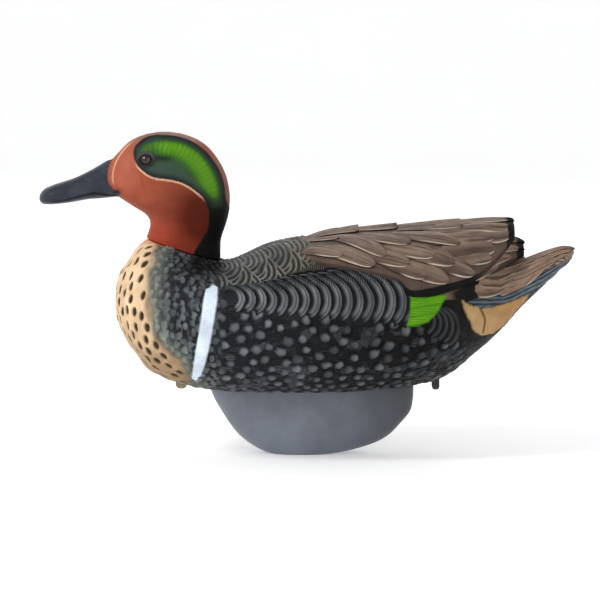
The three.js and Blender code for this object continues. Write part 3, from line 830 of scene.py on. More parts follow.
def paint_body(points):
    """The painted skin of the body's left side."""
    skin = Skin(points, layered_noise(points, 9, 3, 5), layered_noise(points, 2.6, 2, 9))
    rng = np.random.default_rng(4)
    rearward = step(skin.y, -60, 90)
    edge = smooth_line(CREAM_EDGE)
    behind_cream = skin.y - np.interp(skin.h, edge[:, 0], edge[:, 1])
    skin.colour = blend(linear(34, 36, 40), linear(11, 11, 11), rearward)
    paint_cobbles(skin, rng, rearward)
    paint_crescents(skin, rearward)
    paint_rear_crescents(skin)
    paint_mantle(skin)
    paint_back(skin)
    paint_front_lumps(skin, rng, behind_cream)
    paint_breast(skin, behind_cream)
    paint_collar(skin)
    paint_white_bar(skin)
    paint_rear(skin)
    paint_speculum(skin)
    paint_tail_top(skin)
    skin.colour *= 1 + 0.07 * layered_noise(points, 30, 3, 1)[:, None]
    return skin


def body_grid():
    fine = spline(BODY, np.linspace(0, len(BODY) - 1, 1600))
    spread = np.concatenate([[0], np.cumsum(np.hypot(np.diff(fine[:, 0]), np.diff(fine[:, 3]) * 0.6))])
    t = np.interp(np.linspace(0, spread[-1], BODY_ROWS), spread, np.linspace(0, len(BODY) - 1, 1600))
    return seen_columns(section_points(spline(BODY, t), np.linspace(-math.pi / 2, math.pi / 2, 361)))


def flatten_collar(points):
    """Presses the body down onto the flat collar that the neck turns over."""
    offset = points - NECK_SEAM
    height = offset @ NECK_AXIS
    radial = np.linalg.norm(offset - height[:, None] * NECK_AXIS, axis=1)
    over = (height > -SEAM_GAP) & (radial < COLLAR_RADIUS)
    return np.where(over[:, None], points - (height + SEAM_GAP)[:, None] * NECK_AXIS, points)


def make_body(material):
    """The hull's painted skin in four pieces that share their shading where they meet."""
    grid = body_grid()
    flat = grid.reshape(-1, 3)
    skin = paint_body(flat)
    lift = skin.relief * step(flat[:, 0], 0.0, 1.5)
    moved = flat + grid_normals(grid).reshape(-1, 3) * lift[:, None]
    moved[:, 0] = np.where(flat[:, 0] < 1e-6, 0, np.maximum(moved[:, 0], 0))
    moved = flatten_collar(moved)
    normals = grid_normals(moved.reshape(grid.shape)).reshape(-1, 3)
    cut_row = int(np.argmax(grid[:, 0, 1] > 0))
    for part, first, last in (("front", 0, cut_row + 1), ("rear", cut_row, BODY_ROWS)):
        chosen = slice(first * BODY_COLUMNS, last * BODY_COLUMNS)
        faces = grid_faces(last - first, BODY_COLUMNS)[:, ::-1]
        attributes = paint_attributes(skin.colour[chosen], skin.barbs[chosen], skin.barb_depth[chosen])
        for side, sign in SIDES:
            piece = mirrored(f"body_{side}_{part}", sign, moved[chosen], faces, attributes, material)
            shared = normals[chosen] * np.array([sign, 1, 1])
            piece.data.normals_split_custom_set_from_vertices(shared.tolist())
            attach(piece, "body")
            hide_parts("body_shell")


# ---------------------------------------------------------------- head
# Neck and head stations, upwards: z, front, back, half width
HEAD = [
    [112, -100.2, -54, 18.6],
    [127, -100.3, -54, 18.6],
    [134, -99.8, -53.6, 18.4],
    [143, -97.2, -50.6, 18.3],
    [149, -99.8, -49, 19.2],
    [155, -109, -48, 20.6],
    [161, -117.6, -47.9, 21.8],
    [167, -122, -48.6, 22.2],
    [175, -122.6, -50.8, 21.4],
    [183, -120.2, -55, 19.4],
    [190, -114.6, -60.4, 16.2],
    [195, -108.8, -66.8, 12.8],
    [198.6, -100.6, -75.5, 8.2],
    [200.3, -91.5, -85, 2.6],
]
# Bill stations, from inside the face to the tip: y, top, bottom, half width, widest height, squareness
BILL = [
    [-106, 182, 162, 8, 170, 2.0],
    [-114, 183.2, 161, 9.6, 169, 2.1],
    [-122.4, 182.6, 160, 10.6, 167.5, 2.2],
    [-129, 179, 159.4, 10.9, 166, 2.3],
    [-135, 175.6, 159, 11.2, 164.6, 2.4],
    [-141, 172.6, 158, 11.8, 163, 2.5],
    [-147.3, 170.1, 156.9, 12.3, 161.8, 2.6],
    [-156, 167.4, 156, 12.4, 160.5, 2.6],
    [-161, 165.2, 155.8, 10.8, 160, 2.4],
    [-164.0, 162.8, 156.1, 7.4, 159.5, 2.2],
    [-165.2, 160.6, 157.4, 3.0, 159, 2.0],
]
FACE_EDGE = [  # height, y: where the bill meets the face
    (156, -118), (161, -117), (162.8, -117.8), (164.8, -120), (168, -122.2), (171.4, -123.2),
    (176.4, -122.8), (181.4, -121.2), (184.6, -119.0), (188, -117),
]
MOUTH = [
    (-116.5, 162.2), (-122.4, 161.9), (-128.7, 163), (-134.9, 162.4), (-141.1, 160.9), (-150.4, 158.8),
    (-160, 158),
]
PATCH_LOW = [
    (-100.5, 196.2), (-103.6, 193.6), (-106.3, 190.4), (-107, 186.4), (-106.3, 182.4), (-104.4, 178.2),
    (-100.7, 174.5), (-97.6, 172.3), (-93.2, 170.5), (-88.3, 169.9), (-83.3, 169.2), (-77.7, 167.7),
    (-72.7, 165.2), (-68.4, 162.1), (-64.6, 158.8), (-62.2, 155.2),
]
PATCH_BACK = [(-60.9, 151), (-60.7, 145.3), (-61.5, 140), (-64, 135), (-67, 130), (-70, 124), (-70, 110)]
PATCH_TOP = [
    (-46, 110), (-46, 145), (-49.9, 157.7), (-50.9, 165.8), (-52.4, 172), (-54.9, 177.6), (-58, 182.4),
    (-61.7, 187.2), (-66.7, 191.4), (-72.9, 195), (-79, 197), (-85.1, 197.9), (-91.4, 198.3), (-97, 197.6),
]
FACE_LINE = [
    (-119.0, 166.4), (-120.0, 170.2), (-119.7, 175.1), (-118.1, 180.5), (-115.6, 185.4), (-112.5, 189.6),
    (-108.8, 193.0), (-104.6, 195.8),
]
GREEN_SPINE = [
    (-99, 190), (-90, 191.5), (-80, 190.2), (-71, 185), (-64, 177), (-59.5, 168), (-57, 158), (-56, 150),
]
EYE = (-99.4, 182.3)
EYE_RADIUS = 3.65
EYE_DEPTH = 1.15  # how far the eye's centre lies inside the head
GREEN_BARBS = 24


def upright_points(rows, count, square=2.1):
    angles = np.linspace(0, 2 * math.pi, count, endpoint=False)
    z, front, back, width = [column[:, None] for column in rows.T]
    waves = np.cos(angles), np.sin(angles)
    across, along = [np.sign(wave) * np.abs(wave) ** (2 / square) for wave in waves]
    x = width * across
    y = (front + back) / 2 + (back - front) / 2 * along
    return np.stack([x, y, np.broadcast_to(z, x.shape)], axis=2)


def closed_loft(grid):
    """Points and faces of a closed loft through rings of points."""
    rows, columns = grid.shape[:2]
    points = grid.reshape(-1, 3)
    faces = grid_faces(rows, columns, wrap=True).tolist()
    first, last = len(points), len(points) + 1
    points = np.concatenate([points, [grid[0].mean(axis=0)], [grid[-1].mean(axis=0)]])
    for i in range(columns):
        j = (i + 1) % columns
        faces.append([first, j, i])
        faces.append([last, (rows - 1) * columns + i, (rows - 1) * columns + j])
    return points, faces


def whole_section(rows, count):
    """Rings of points for body-like stations, both sides."""
    half = section_points(rows, np.linspace(-math.pi / 2, math.pi / 2, count))
    return np.concatenate([half, (half * np.array([-1, 1, 1]))[:, -2:0:-1]], axis=1)


def merged_volume(name, lofts, voxel, rounds):
    """One even quad skin around several overlapping lofts: its points, faces and normals."""
    points, faces = [], []
    for grid in lofts:
        p, f = closed_loft(grid)
        start = sum(len(q) for q in points)
        points.append(p)
        faces += [[start + i for i in face] for face in f]
    rough = make_object(name, np.concatenate(points), faces, {})
    face_outwards(rough.data)
    remesh = rough.modifiers.new("remesh", "REMESH")
    remesh.mode = "VOXEL"
    remesh.voxel_size = voxel * MM
    smooth = rough.modifiers.new("smooth", "SMOOTH")
    smooth.factor = 0.5
    smooth.iterations = rounds
    seen = rough.evaluated_get(bpy.context.evaluated_depsgraph_get())
    mesh = bpy.data.meshes.new_from_object(seen)
    bpy.data.objects.remove(rough)
    return mesh


def cut_mesh(mesh, point, normal):
    """Cuts away what lies on the side that the normal points to, and closes the cut."""
    work = bmesh.new()
    work.from_mesh(mesh)
    everything = work.verts[:] + work.edges[:] + work.faces[:]
    cut = bmesh.ops.bisect_plane(
        work, geom=everything, plane_co=Vector(point) * MM, plane_no=Vector(normal), clear_outer=True
    )
    edges = [e for e in cut["geom_cut"] if isinstance(e, bmesh.types.BMEdge)]
    bmesh.ops.holes_fill(work, edges=edges)
    work.to_mesh(mesh)
    work.free()


def mesh_arrays(mesh):
    points = np.empty(len(mesh.vertices) * 3)
    mesh.vertices.foreach_get("co", points)
    normals = np.empty(len(mesh.vertices) * 3)
    mesh.vertex_normals.foreach_get("vector", normals)
    return points.reshape(-1, 3) / MM, normals.reshape(-1, 3), [list(p.vertices) for p in mesh.polygons]


HEAD_PALE = (226, 176, 142)


def paint_chestnut(skin):
    """Chestnut head, redder at the neck, with painted shade on the cheeks and in the crease before the eye,
    a painted highlight on the front of the face, and a greyer crown.
    """
    y, h = skin.y, skin.h
    skin.colour = skin.varied(0.08, 150, 73, 52)
    skin.paint((162, 62, 42), 0.8 * step(h, 150, 134))
    # A painted highlight on the front of the face, above the bill.
    skin.paint((172, 98, 78), 0.5 * step(-y, 96, 112) * step(h, 158, 172))
    # Painted shade in the crease in front of and below the eye.
    crease_shade = bump_at(y + 0.25 * (h - 170), -101.5, 0.8) * step(h, 160, 166) * (1 - step(h, 174, 179))
    skin.paint((110, 48, 34), 0.35 * crease_shade)
    # Painted shade over the cheeks and the lower rear of the head.
    cheek_shade = bump_at(y, -66, 19) * bump_at(h, 147, 23)
    skin.paint((80, 22, 3), np.clip(1.2 * cheek_shade, 0, 0.97))
    crown = step(h, 190, 197) + step(y, -62, -54) * 0.6
    skin.paint((132, 102, 90), 0.75 * np.clip(crown, 0, 1))


def paint_green_patch(skin):
    """The dark-edged green patch behind the eye, and its black end down the nape."""
    y, h = skin.y, skin.h
    outline = np.concatenate([smooth_line(part) for part in (PATCH_LOW, PATCH_BACK, PATCH_TOP)])
    inside = area_distance(y, h, outline)
    off, along = line_distance(y, h, smooth_line(GREEN_SPINE))
    core = bump_at(off, 0, 8) * step(inside, 1.2, 6.5) * (1 - step(along, 0.80, 0.98))
    core *= 0.55 + 0.45 * step(along, 0.04, 0.2)
    barb = np.sin(along * 2 * math.pi * GREEN_BARBS + off * 0.3 + 2.2 * skin.slow)
    barb *= 0.4 + 0.6 * step(noise(skin.points, 6, 45), -0.3, 0.4)
    green = blend(linear(30, 78, 10), linear(88, 142, 28), np.clip(1.3 * core - 0.35, 0, 1))
    shade = blend(linear(22, 28, 30), linear(54, 70, 60), step(inside, 0.5, 5))
    shade = blend(shade, green * (1 + 0.2 * (barb * core)[:, None]), np.clip(1.5 * core, 0, 1))
    black = np.maximum(1 - step(h, 146, 164), step(along, 0.86, 1) * (off < 12))
    shade = blend(shade, linear(6, 6, 6), black)
    eye_streak = bump_at(h, 183.2, 1.9) * step(y, -100, -94) * (1 - step(y, -88, -80))
    shade = blend(shade, linear(22, 30, 18), 0.85 * eye_streak)
    patch = step(inside, -0.35, 0.45)
    skin.paint(shade, patch)
    skin.relief += patch * (core * 0.2 * barb + 0.25)
    skin.gloss = 0.6 - 0.1 * patch * core


def paint_pale_lines(skin):
    """The pale line under the patch, and the one from the bill over the forehead."""
    for line, width, start, end, share, height in (
        (PATCH_LOW[3:], (0.2, 0.75), (0.06, 0.2), (0.86, 1.0), 0.9, 0.25),
        (FACE_LINE, (0.1, 0.6), (0.0, 0.12), (0.75, 1.0), 0.85, 0.15),
    ):
        off, along = line_distance(skin.y, skin.h, smooth_line(line))
        thin = (1 - step(off, *width)) * step(along, *start) * (1 - step(along, *end))
        skin.paint(HEAD_PALE, share * thin)
        skin.relief += height * thin


def paint_eyelids(skin):
    back, up = skin.y - EYE[0], skin.h - EYE[1]
    lid = np.hypot((back - 0.35) / 1.1, up * 1.04)
    ring = bump_at(lid, 4.5, 0.75)
    skin.relief += 0.75 * ring - 0.9 * (1 - step(lid, 3.0, 4.0))
    skin.paint((36, 36, 38), (1 - step(lid, 4.9, 5.6)) * 0.9)
    # The grey eyelid ring is painted only on its upper half: partly the ring's own grey, partly a painted
    # highlight.
    skin.paint((92, 92, 94), 0.55 * ring * step(up, -1, 2.5))


def paint_bill(skin):
    """Slate bill with its nail, mouth line and nostrils."""
    x, y, z, h = skin.x, skin.y, skin.z, skin.h
    face = smooth_line(FACE_EDGE)
    bill = step(np.interp(h, face[:, 0], face[:, 1]) - y, -0.25, 0.35)
    slate = blend(linear(46, 50, 58), linear(64, 70, 82), step(skin.slow, -0.6, 0.9))
    nail = (1 - step(np.hypot((y + 166) / 6.5, x / 4.4), 0.8, 1.0)) * (z > 158)
    skin.paint(blend(slate, linear(72, 78, 86), 0.6 * nail), bill)
    skin.press(0.35 + 0.25 * nail, bill)
    off, along = line_distance(y, z, smooth_line(MOUTH))
    mouth = (1 - step(off, 0.3, 1.0)) * (np.abs(x) > 3) * bill * (1 - step(along, 0.9, 1))
    skin.paint((14, 13, 13), 0.85 * mouth)
    # Painted shade in the corner of the mouth, where bill and face meet.
    skin.paint((20, 14, 12), np.clip(1.2 * bump_at(np.hypot(y + 117.3, h - 162), 0, 2.2), 0, 1))
    nostril = 1 - step(np.hypot((y + 136.5) / 3.2, z - 170.4 + 0.35 * (y + 136.5)), 0.6, 1.0)
    nostril *= np.abs(x) > 2.5
    skin.paint((26, 27, 30), 0.35 * nostril)
    skin.relief -= 0.55 * mouth + 0.25 * nostril
    skin.gloss = np.where(bill > 0.5, 0.42, skin.gloss)


def paint_head(points):
    skin = Skin(points, layered_noise(points, 10, 3, 41), layered_noise(points, 2.2, 2, 43))
    skin.relief = 0.05 * skin.fine
    paint_chestnut(skin)
    paint_green_patch(skin)
    paint_pale_lines(skin)
    paint_eyelids(skin)
    paint_bill(skin)
    return skin


def head_material():
    s = Shader("head_paint", 0.5)
    s.plain("Specular IOR Level", 0.12)
    patchy = s.remap(s.noise(110, 3), 0.25, 0.75, 0.92, 1.08)
    grain = s.remap(s.noise(1800, 2), 0.3, 0.7, 0.95, 1.05)
    rough = s.math("ADD", s.attribute("gloss"), s.remap(s.noise(300, 3), 0.3, 0.7, -0.07, 0.07))
    s.bump(s.noise(900, 3, s.stretched(1, 0.4, 1)), 0.12, 0.4)
    return s.set(base_color=s.scaled_paint(s.math("MULTIPLY", patchy, grain)), roughness=rough)


def make_head():
    head_rows = spline(HEAD, np.linspace(0, len(HEAD) - 1, 90))
    bill_rows = spline(BILL, np.linspace(0, len(BILL) - 1, 70))
    lofts = [upright_points(head_rows, 96), whole_section(bill_rows, 40)]
    mesh = merged_volume("head_rough", lofts, 0.75, 10)
    cut_mesh(mesh, NECK_SEAM + SEAM_GAP * NECK_AXIS, -NECK_AXIS)
    points, normals, faces = mesh_arrays(mesh)
    bpy.data.meshes.remove(mesh)
    skin = paint_head(points)
    moved = points + normals * skin.relief[:, None]
    attributes = {"paint": np.clip(skin.colour, *PAINT_RANGE), "gloss": skin.gloss}
    piece = make_object("head_skin", moved, faces, attributes, head_material())
    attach(piece, "head")
    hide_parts("head_shell")
    return piece


def eye_material():
    s = Shader("eye_glass", 0.06)
    s.plain("Specular IOR Level", 0.4)
    s.plain("Coat Weight", 0.4)
    iris = s.remap(s.attribute("from_pupil"), 0.42, 0.52)
    fleck = s.mix(s.noise(2600, 3), linear(30, 17, 9), linear(58, 33, 18))
    s.bump(s.noise(120, 1), 0.02, 0.05)
    return s.set(base_color=s.mix(iris, linear(5, 4, 4), fleck))


def make_eyes(head):
    """Two domes set into the head where its surface passes the eye's place."""
    points = np.array([v.co for v in head.data.vertices]) / MM
    h = points[:, 2] - LEAN * np.abs(points[:, 0])
    far = np.hypot(points[:, 1] - EYE[0], h - EYE[1]) + np.where(points[:, 0] > 0, 0, 99)
    spot = points[np.argmin(far)]
    outward = np.array([abs(head.data.vertices[int(np.argmin(far))].normal[0]), -0.2, 0.12])
    outward /= np.linalg.norm(outward)
    across = np.cross(outward, [0, 0, 1.0])
    across /= np.linalg.norm(across)
    up = np.cross(across, outward)
    rings, count = 20, 48
    polar = np.linspace(0.001, math.radians(105), rings)[:, None]
    turn = np.linspace(0, 2 * math.pi, count, endpoint=False)[None]
    dome = (
        (np.sin(polar) * np.cos(turn))[..., None] * across
        + (np.sin(polar) * np.sin(turn))[..., None] * up
        + (np.cos(polar) * np.ones_like(turn))[..., None] * outward * 0.8
    )
    places, faces = closed_loft(spot - outward * EYE_DEPTH + EYE_RADIUS * dome)
    material = eye_material()
    attributes = {"from_pupil": np.concatenate([np.repeat(np.sin(polar[:, 0]), count), [0, 1]])}
    for side, sign in SIDES:
        piece = mirrored(f"{side}_eyeball", sign, places, reversed_faces(faces), attributes, material)
        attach(piece, "head")
        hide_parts(f"{side}_eye")


# ---------------------------------------------------------------- keel
KEEL = [  # z, front, back, half width
    [44, -61.4, 66.4, 19.6],
    [41.5, -60.8, 66.4, 19.8],
    [33.4, -57.4, 66, 20.4],
    [26, -53, 64.2, 20.6],
    [18, -47.9, 57.6, 20],
    [11.5, -42.5, 51.2, 18.6],
    [6.5, -36.4, 42.4, 16.6],
    [2.6, -30, 30, 14.6],
    [0.6, -25, 20, 13.4],
    [0, -22, 16, 12.4],
]


def keel_material():
    s = Shader("keel_plastic", 0.45)
    mottled = s.mix(s.remap(s.noise(45, 3), 0.3, 0.7), linear(104, 109, 120), linear(118, 124, 135))
    dust = s.mix(s.remap(s.noise(700, 4), 0.62, 0.8), mottled, linear(124, 128, 136))
    place = s.node("ShaderNodeSeparateXYZ")
    s.tree.links.new(s.place, place.inputs[0])
    # The keel's grey plastic is painted darker towards its rear: painted shade.
    rear = s.remap(place.outputs["Y"], -0.01, 0.075)
    tone = s.mix(rear, dust, linear(60, 62, 67))
    rough = s.remap(s.noise(300, 3), 0.3, 0.7, 0.36, 0.55)
    s.bump(s.noise(1100, 3), 0.12, 0.35)
    s.bump(s.noise(60, 2), 0.3, 0.25)
    return s.set(base_color=tone, roughness=rough)


def make_keel():
    rows = spline(KEEL, np.linspace(0, len(KEEL) - 1, 80))
    mesh = merged_volume("keel_rough", [upright_points(rows, 120, 2.35)], 1.0, 6)
    piece = bpy.data.objects.new("keel_skin", mesh)
    bpy.context.collection.objects.link(piece)
    mesh.polygons.foreach_set("use_smooth", [True] * len(mesh.polygons))
    mesh.materials.clear()
    mesh.materials.append(keel_material())
    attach(piece, "body")
    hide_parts("keel_shell")


# ---------------------------------------------------------------- folded wings and tail feathers
# Wing feathers, shoulder to tip: root y, h, tip y, h, half width, darkness, black end
WING_FEATHERS = [
    [-10, 133, 20, 133, 6, 0.2, 0],
    [-8, 127, 22, 122.5, 6.5, 0.2, 0],
    [-5, 136, 32, 137.5, 6.5, 0.2, 0],
    [5, 134, 48, 122, 8, 0.5, 0],
    [8, 139, 56, 139.5, 8, 0.3, 0],
    [0, 127, 41, 116.5, 7.5, 0.5, 0],
    [22, 136, 63, 130, 8, 0.4, 0],
    [26.7, 127, 62, 117.8, 8, 0.5, 0],
    [39.2, 137, 93.2, 130, 8, 0.7, 0],
    [39.2, 130, 77.7, 123.0, 7.5, 0.6, 0],
    [42, 122, 72, 110, 6.5, 0.6, 0],
    [44, 139, 96, 140.5, 7, 0.5, 0],
    [52, 119, 85.5, 107.5, 7, 0.7, 0],
    [54.7, 127.5, 89.5, 118.6, 8, 0.7, 0],
    [70.2, 121.5, 101.3, 112.5, 7.5, 0.8, 0],
    [57.8, 137.5, 124.6, 140.6, 8, 0.5, 1],
    [62, 131, 114, 134.5, 7.5, 0.8, 0],
    [74, 125, 114, 128.5, 8, 0.8, 0],
    [84, 121, 112, 122.5, 6, 0.9, 0],
    [88, 133, 125.6, 137, 6, 0.9, 1],
    [66, 141, 127.6, 144.2, 7, 0.3, 1],
]
FLIGHT_FEATHERS = [
    [96, 128, 134, 130, 5.5, 0.9, 1],
    [95, 122, 133.5, 126.5, 5, 0.8, 1],
    [94, 115, 126, 122.5, 5.5, 0.8, 1],
    [94, 109, 117, 117, 5.5, 0.9, 1],
]
TAIL_FEATHERS = [
    [112, 103.2, 140, 111, 5, 0.4, 0],
    [112, 106, 147, 115, 5, 0.4, 0],
    [113, 110, 153.5, 118.8, 5, 0.4, 0],
    [114, 113.5, 159, 122, 5, 0.4, 0],
    [115, 116.5, 163, 124.6, 4.6, 0.4, 0],
    [116, 119.5, 165, 126.3, 4.2, 0.4, 0],
]
TAIL_COVERTS = [
    [98, 101, 121, 103, 4.5, 1, 0],
    [100, 106, 126, 107.8, 4.5, 1, 0],
    [103, 111, 129, 113, 4.5, 1, 0],
    [107, 115, 137, 115.8, 4.5, 1, 0],
    [109, 118.5, 136, 119.4, 4.5, 1, 0],
]
TAIL_TOP = [[row[0], row[1], row[4], row[3], row[4], row[5]] for row in BODY if row[0] > 80]
FEATHER_LIFT = 1.5  # how far a feather's tip stands off what is under it
FEATHER_EDGE = 1.2  # how far its rim is turned down
FEATHER_ROWS = 41
FEATHER_COLUMNS = 21
BLACK_END = 4.6  # length of the black ends of wing and flight feathers
FEATHER_DARK = (46, 37, 31)


def ends_black(table, y):
    """1 on the black last stretch of a wing or of its flight feathers."""
    return step(y, table[-1][0] - BLACK_END - 0.6, table[-1][0] - BLACK_END)


def feather_shape(table, ridge, feather, pointed):
    """One feather laid on a fold: points, their y before lifting, places across and along, rim, length."""
    root_y, root_h, tip_y, tip_h, half_width = feather[:5]
    root = np.array([root_y, fold_distance(table, ridge, root_y, root_h)])
    tip = np.array([tip_y, fold_distance(table, ridge, tip_y, tip_h)])
    axis = tip - root
    side = np.array([axis[1], -axis[0]]) / np.linalg.norm(axis)  # towards the ridge
    v = np.append(1 - (1 - np.linspace(0, 1, FEATHER_ROWS - 1)) ** 1.5, 1.0)[:, None]
    u = np.concatenate([[-1], np.linspace(-1, 1, FEATHER_COLUMNS - 2), [1]])[None]
    rim = np.zeros((FEATHER_ROWS, FEATHER_COLUMNS))
    rim[:, 0] = rim[:, -1] = rim[-1, :] = 1
    power, blunt = (2.2, 0.8) if pointed else (5, 0.5)
    width = half_width * (0.7 + 0.3 * np.minimum(1, v / 0.4)) * (1 - v**power) ** blunt
    place = root[None, None] + axis * v[..., None] + side * (u * np.maximum(width, 0.02))[..., None]
    y = place[..., 0].ravel()
    points, normals = fold_place(table, ridge, y, place[..., 1].ravel())
    rooted = 1.8 * (1 - step(v, 0.0, 0.3))
    shaft = 0.25 * np.exp(-((u / 0.07) ** 2))
    lift = 0.25 + FEATHER_LIFT * v**1.2 - 0.9 * u**2 * (0.35 + 0.65 * v) - 0.3 * u - rooted + shaft
    points = points + normals * (lift - FEATHER_EDGE * rim).reshape(-1, 1)
    u, v = np.broadcast_arrays(u, v)
    return points, y, u.ravel(), v.ravel(), rim.ravel(), np.linalg.norm(axis)


def feather_sheet(table, ridge, feather, seed, pointed):
    """One feather: its points, paint, barbs and barb depth."""
    points, y, u, v, rim, span = feather_shape(table, ridge, feather, pointed)
    half_width, darkness, black_end = feather[4:]
    across = u * half_width
    streaks = noise(np.stack([across, v * span * 0.1, np.full(len(u), seed * 7.7)], axis=1), 1.5, 51)
    patchy = noise(np.stack([across, v * span * 0.5, np.full(len(u), seed * 3.1)], axis=1), 7, 53)
    brown = linear(158, 130, 112) if pointed else linear(132, 111, 97)
    colour = brown * (1 + 0.2 * patchy[:, None])
    colour = blend(colour, linear(*FEATHER_DARK), 0.75 * darkness * step(-u + 0.25 * patchy, -0.3, 0.6))
    colour = blend(colour, linear(*FEATHER_DARK), 0.6 * step(streaks, 0.1, 0.8))
    colour = blend(colour, linear(168, 148, 130), 0.5 * step(-streaks, 0.2, 0.9))
    start = 0.12 if pointed else 0.5
    pale = step(-u, 0.76, 0.86) * step(v, start, start + 0.2) * (1 - step(v, 0.955, 0.99))
    colour = blend(colour, linear(206, 188, 166), (0.7 if pointed else 0.9) * pale)
    # The turned-down rim and outer edge of every feather are painted dark as the shadow under its edge, a
    # softer brown on pointed feathers without black ends.
    under = linear(96, 76, 64) if pointed and not black_end else linear(36, 28, 24)
    colour = blend(colour, under, np.maximum(step(-u, 0.94, 1.0), rim))
    colour = blend(colour, linear(8, 7, 7), black_end * ends_black(table, y))
    return points, colour, v * span / 1.15 + np.abs(across) * 0.55, 0.3 * (1 - pale)


def feather_layer(name, table, ridge, feathers, material, pointed=False):
    """All feathers of one layer as one piece for each side."""
    sheets = [feather_sheet(table, ridge, feather, i, pointed) for i, feather in enumerate(feathers)]
    points, colour, barbs, barb_depth = [np.concatenate(parts) for parts in zip(*sheets)]
    points[:, 0] = np.maximum(points[:, 0], 0.3)
    sheet_faces = grid_faces(FEATHER_ROWS, FEATHER_COLUMNS)[:, ::-1]
    faces = np.concatenate([sheet_faces + i * FEATHER_ROWS * FEATHER_COLUMNS for i in range(len(feathers))])
    for side, sign in SIDES:
        attributes = paint_attributes(colour, barbs, barb_depth)
        piece = mirrored(f"{side}_{name}", sign, points, faces, attributes, material)
        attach(piece, "body")


def make_blade(name, table, ridge, material):
    """The closed block that a layer of wing feathers lies on; its edge wall is painted dark as shade under
    the overhanging wing.
    """
    y = np.linspace(table[0][0], table[-1][0], 90)
    sections = fold_sections(table, ridge, y, 60)[0]
    inboard = [fold_point(table, ridge, y, np.full(len(y), -ridge * share)) for share in (1, 0.66, 0.33)]
    depth = rows_at(table, y)[:, 6]
    walls = []
    for inward, down in ((0.1, 0.35), (0.5, 0.7), (1.4, 1.0)):
        sunk = np.stack([np.full(len(y), inward), np.zeros(len(y)), down * depth], axis=1)
        walls.append(sections[:, -1] - sunk)
    walls.append(walls[-1] * np.array([0, 1, 1]) + np.array([0.4, 0, 0]))
    ring = np.concatenate([np.stack(inboard, 1), sections, np.stack(walls, 1)], axis=1)
    places, faces = closed_loft(ring)
    y_all, z_all = places[:, 1], places[:, 2]
    column = np.append(np.tile(np.arange(ring.shape[1]), ring.shape[0]), [0, 0])
    # The edge wall is painted near black as shade under the wing's overhang, fainter towards the shoulder
    # and browner near the tip.
    darkness = 0.45 + 0.55 * step(y_all, 50, 60) - 0.5 * step(y_all, 100, 112)
    colour = linear(96, 80, 70) * (1 + 0.25 * layered_noise(places, 8, 3, 61)[:, None])
    colour = blend(colour, linear(12, 10, 9), (column >= ring.shape[1] - len(walls) - 1) * darkness)
    colour = blend(colour, linear(16, 13, 12), ends_black(table, y_all))
    for side, sign in SIDES:
        attributes = paint_attributes(colour, y_all / 1.2 + z_all / 2, np.full(len(places), 0.3))
        piece = mirrored(f"{side}_{name}", sign, places, faces, attributes, material)
        face_outwards(piece.data)
        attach(piece, "body")


def make_wings(material):
    make_blade("wing", WING, WING_RIDGE, material)
    make_blade("flight_block", FLIGHT, WING_RIDGE, material)
    feather_layer("wing_feathers", WING, WING_RIDGE, WING_FEATHERS, material)
    feather_layer("flight_feathers", FLIGHT, WING_RIDGE, FLIGHT_FEATHERS, material, pointed=True)
    feather_layer("tail_feathers", TAIL_TOP, 0, TAIL_FEATHERS, material, pointed=True)
    feather_layer("tail_coverts", TAIL_TOP, 0, TAIL_COVERTS, material, pointed=True)


# ---------------------------------------------------------------- line eyes and inner pieces
def plastic_material(name, low, high, shine, size=60):
    """Moulded plastic or rubber: two close tones, a little dust and fine grain."""
    s = Shader(name, 0.5)
    mottled = s.mix(s.remap(s.noise(size, 3), 0.3, 0.7), low, high)
    dusty = s.mix(s.remap(s.noise(900, 4), 0.6, 0.85), mottled, tuple(0.55 * c + 0.25 for c in high))
    rough = s.remap(s.noise(350, 3), 0.3, 0.7, shine - 0.08, shine + 0.1)
    s.bump(s.noise(1300, 3), 0.15, 0.3)
    return s.set(base_color=s.mix(0.25, mottled, dusty), roughness=rough)


def steel_material():
    s = Shader("plated_steel", 0.35)
    s.plain("Metallic", 1.0)
    tone = s.mix(s.remap(s.noise(240, 4), 0.3, 0.7), linear(150, 153, 156), linear(190, 193, 196))
    stained = s.mix(s.remap(s.noise(700, 3), 0.62, 0.8), tone, linear(112, 98, 84))
    rough = s.remap(s.noise(500, 3), 0.3, 0.7, 0.25, 0.5)
    s.bump(s.noise(1500, 2, s.stretched(1, 1, 0.2)), 0.1, 0.25)
    return s.set(base_color=stained, roughness=rough)


LINE_EYES = {  # y, bottom, depth along the body, radius of its rounded foot
    "front_line_eye": (-78.2, 40.3, 7.0, 3.3),
    "rear_line_eye": (80.0, 39.7, 4.7, 2.2),
}


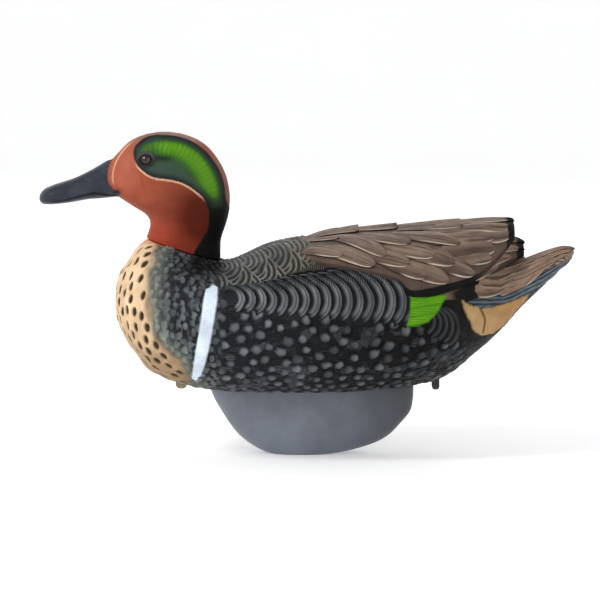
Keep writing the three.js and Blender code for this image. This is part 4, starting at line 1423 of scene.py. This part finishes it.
def make_line_eye(node, material):
    """The line eye with its moulded, rounded edges."""
    y, bottom, depth, radius = LINE_EYES[node]
    source = bpy.data.objects[node]
    piece = source.copy()
    piece.data = source.data.copy()
    piece.name = f"{node}_moulded"
    bpy.context.collection.objects.link(piece)
    remesh = piece.modifiers.new("remesh", "REMESH")
    remesh.mode = "VOXEL"
    remesh.voxel_size = 0.3 * MM
    smooth = piece.modifiers.new("smooth", "SMOOTH")
    smooth.iterations = 4
    mesh = bpy.data.meshes.new_from_object(piece.evaluated_get(bpy.context.evaluated_depsgraph_get()))
    matrix = source.matrix_world.copy()
    bpy.data.objects.remove(piece)
    mesh.transform(matrix)
    points, _, faces = mesh_arrays(mesh)
    low = np.clip((bottom + radius - points[:, 2]) / radius, 0, 1)
    half = depth / 2
    points[:, 1] = y + (points[:, 1] - y) * (half - radius * (1 - np.sqrt(1 - 0.96 * low**2))) / half
    bpy.data.meshes.remove(mesh)
    skin = make_object(f"{node}_skin", points, faces, {}, material)
    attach(skin, "body")
    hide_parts(node)


def paint_inner_pieces():
    """Better materials for the CAD nodes that are kept as they are."""
    nylon = plastic_material("nylon_black", linear(34, 36, 38), linear(48, 50, 53), 0.45)
    rubber = plastic_material("rubber_black", linear(22, 22, 23), linear(34, 34, 35), 0.75)
    iron = plastic_material("cast_iron", linear(62, 62, 64), linear(84, 82, 80), 0.7, 200)
    keel = plastic_material("keel_plate", linear(82, 87, 96), linear(98, 103, 112), 0.5)
    hull = plastic_material("hull_plate", linear(34, 35, 37), linear(50, 51, 54), 0.6)
    steel = steel_material()
    looks = {
        nylon: ["neck_bush", "neck_plug"],
        rubber: ["friction_ring", "keel_seal"],
        iron: ["ballast_bar"],
        keel: ["keel_cap"],
        hull: ["bottom_plate"],
        steel: [f"keel_screw_{i}" for i in (1, 2, 3, 4)]
        + ["front_eye_nut", "rear_eye_nut", "bolt_washer", "spring_washer", "head_bolt"],
    }
    for material, nodes in looks.items():
        for node in nodes:
            slots = bpy.data.objects[node].material_slots
            for slot in slots:
                slot.link = "OBJECT"
                slot.material = material


make_camera()
make_studio()
barbed_paint = hatched_paint_material()
make_body(barbed_paint)
make_wings(barbed_paint)
head = make_head()
make_eyes(head)
make_keel()
tan_plastic = plastic_material("tan_plastic", linear(128, 121, 96), linear(152, 144, 116), 0.5)
make_line_eye("front_line_eye", tan_plastic)
dark_plastic = plastic_material("dark_plastic", linear(32, 34, 35), linear(46, 48, 49), 0.5)
make_line_eye("rear_line_eye", dark_plastic)
paint_inner_pieces()
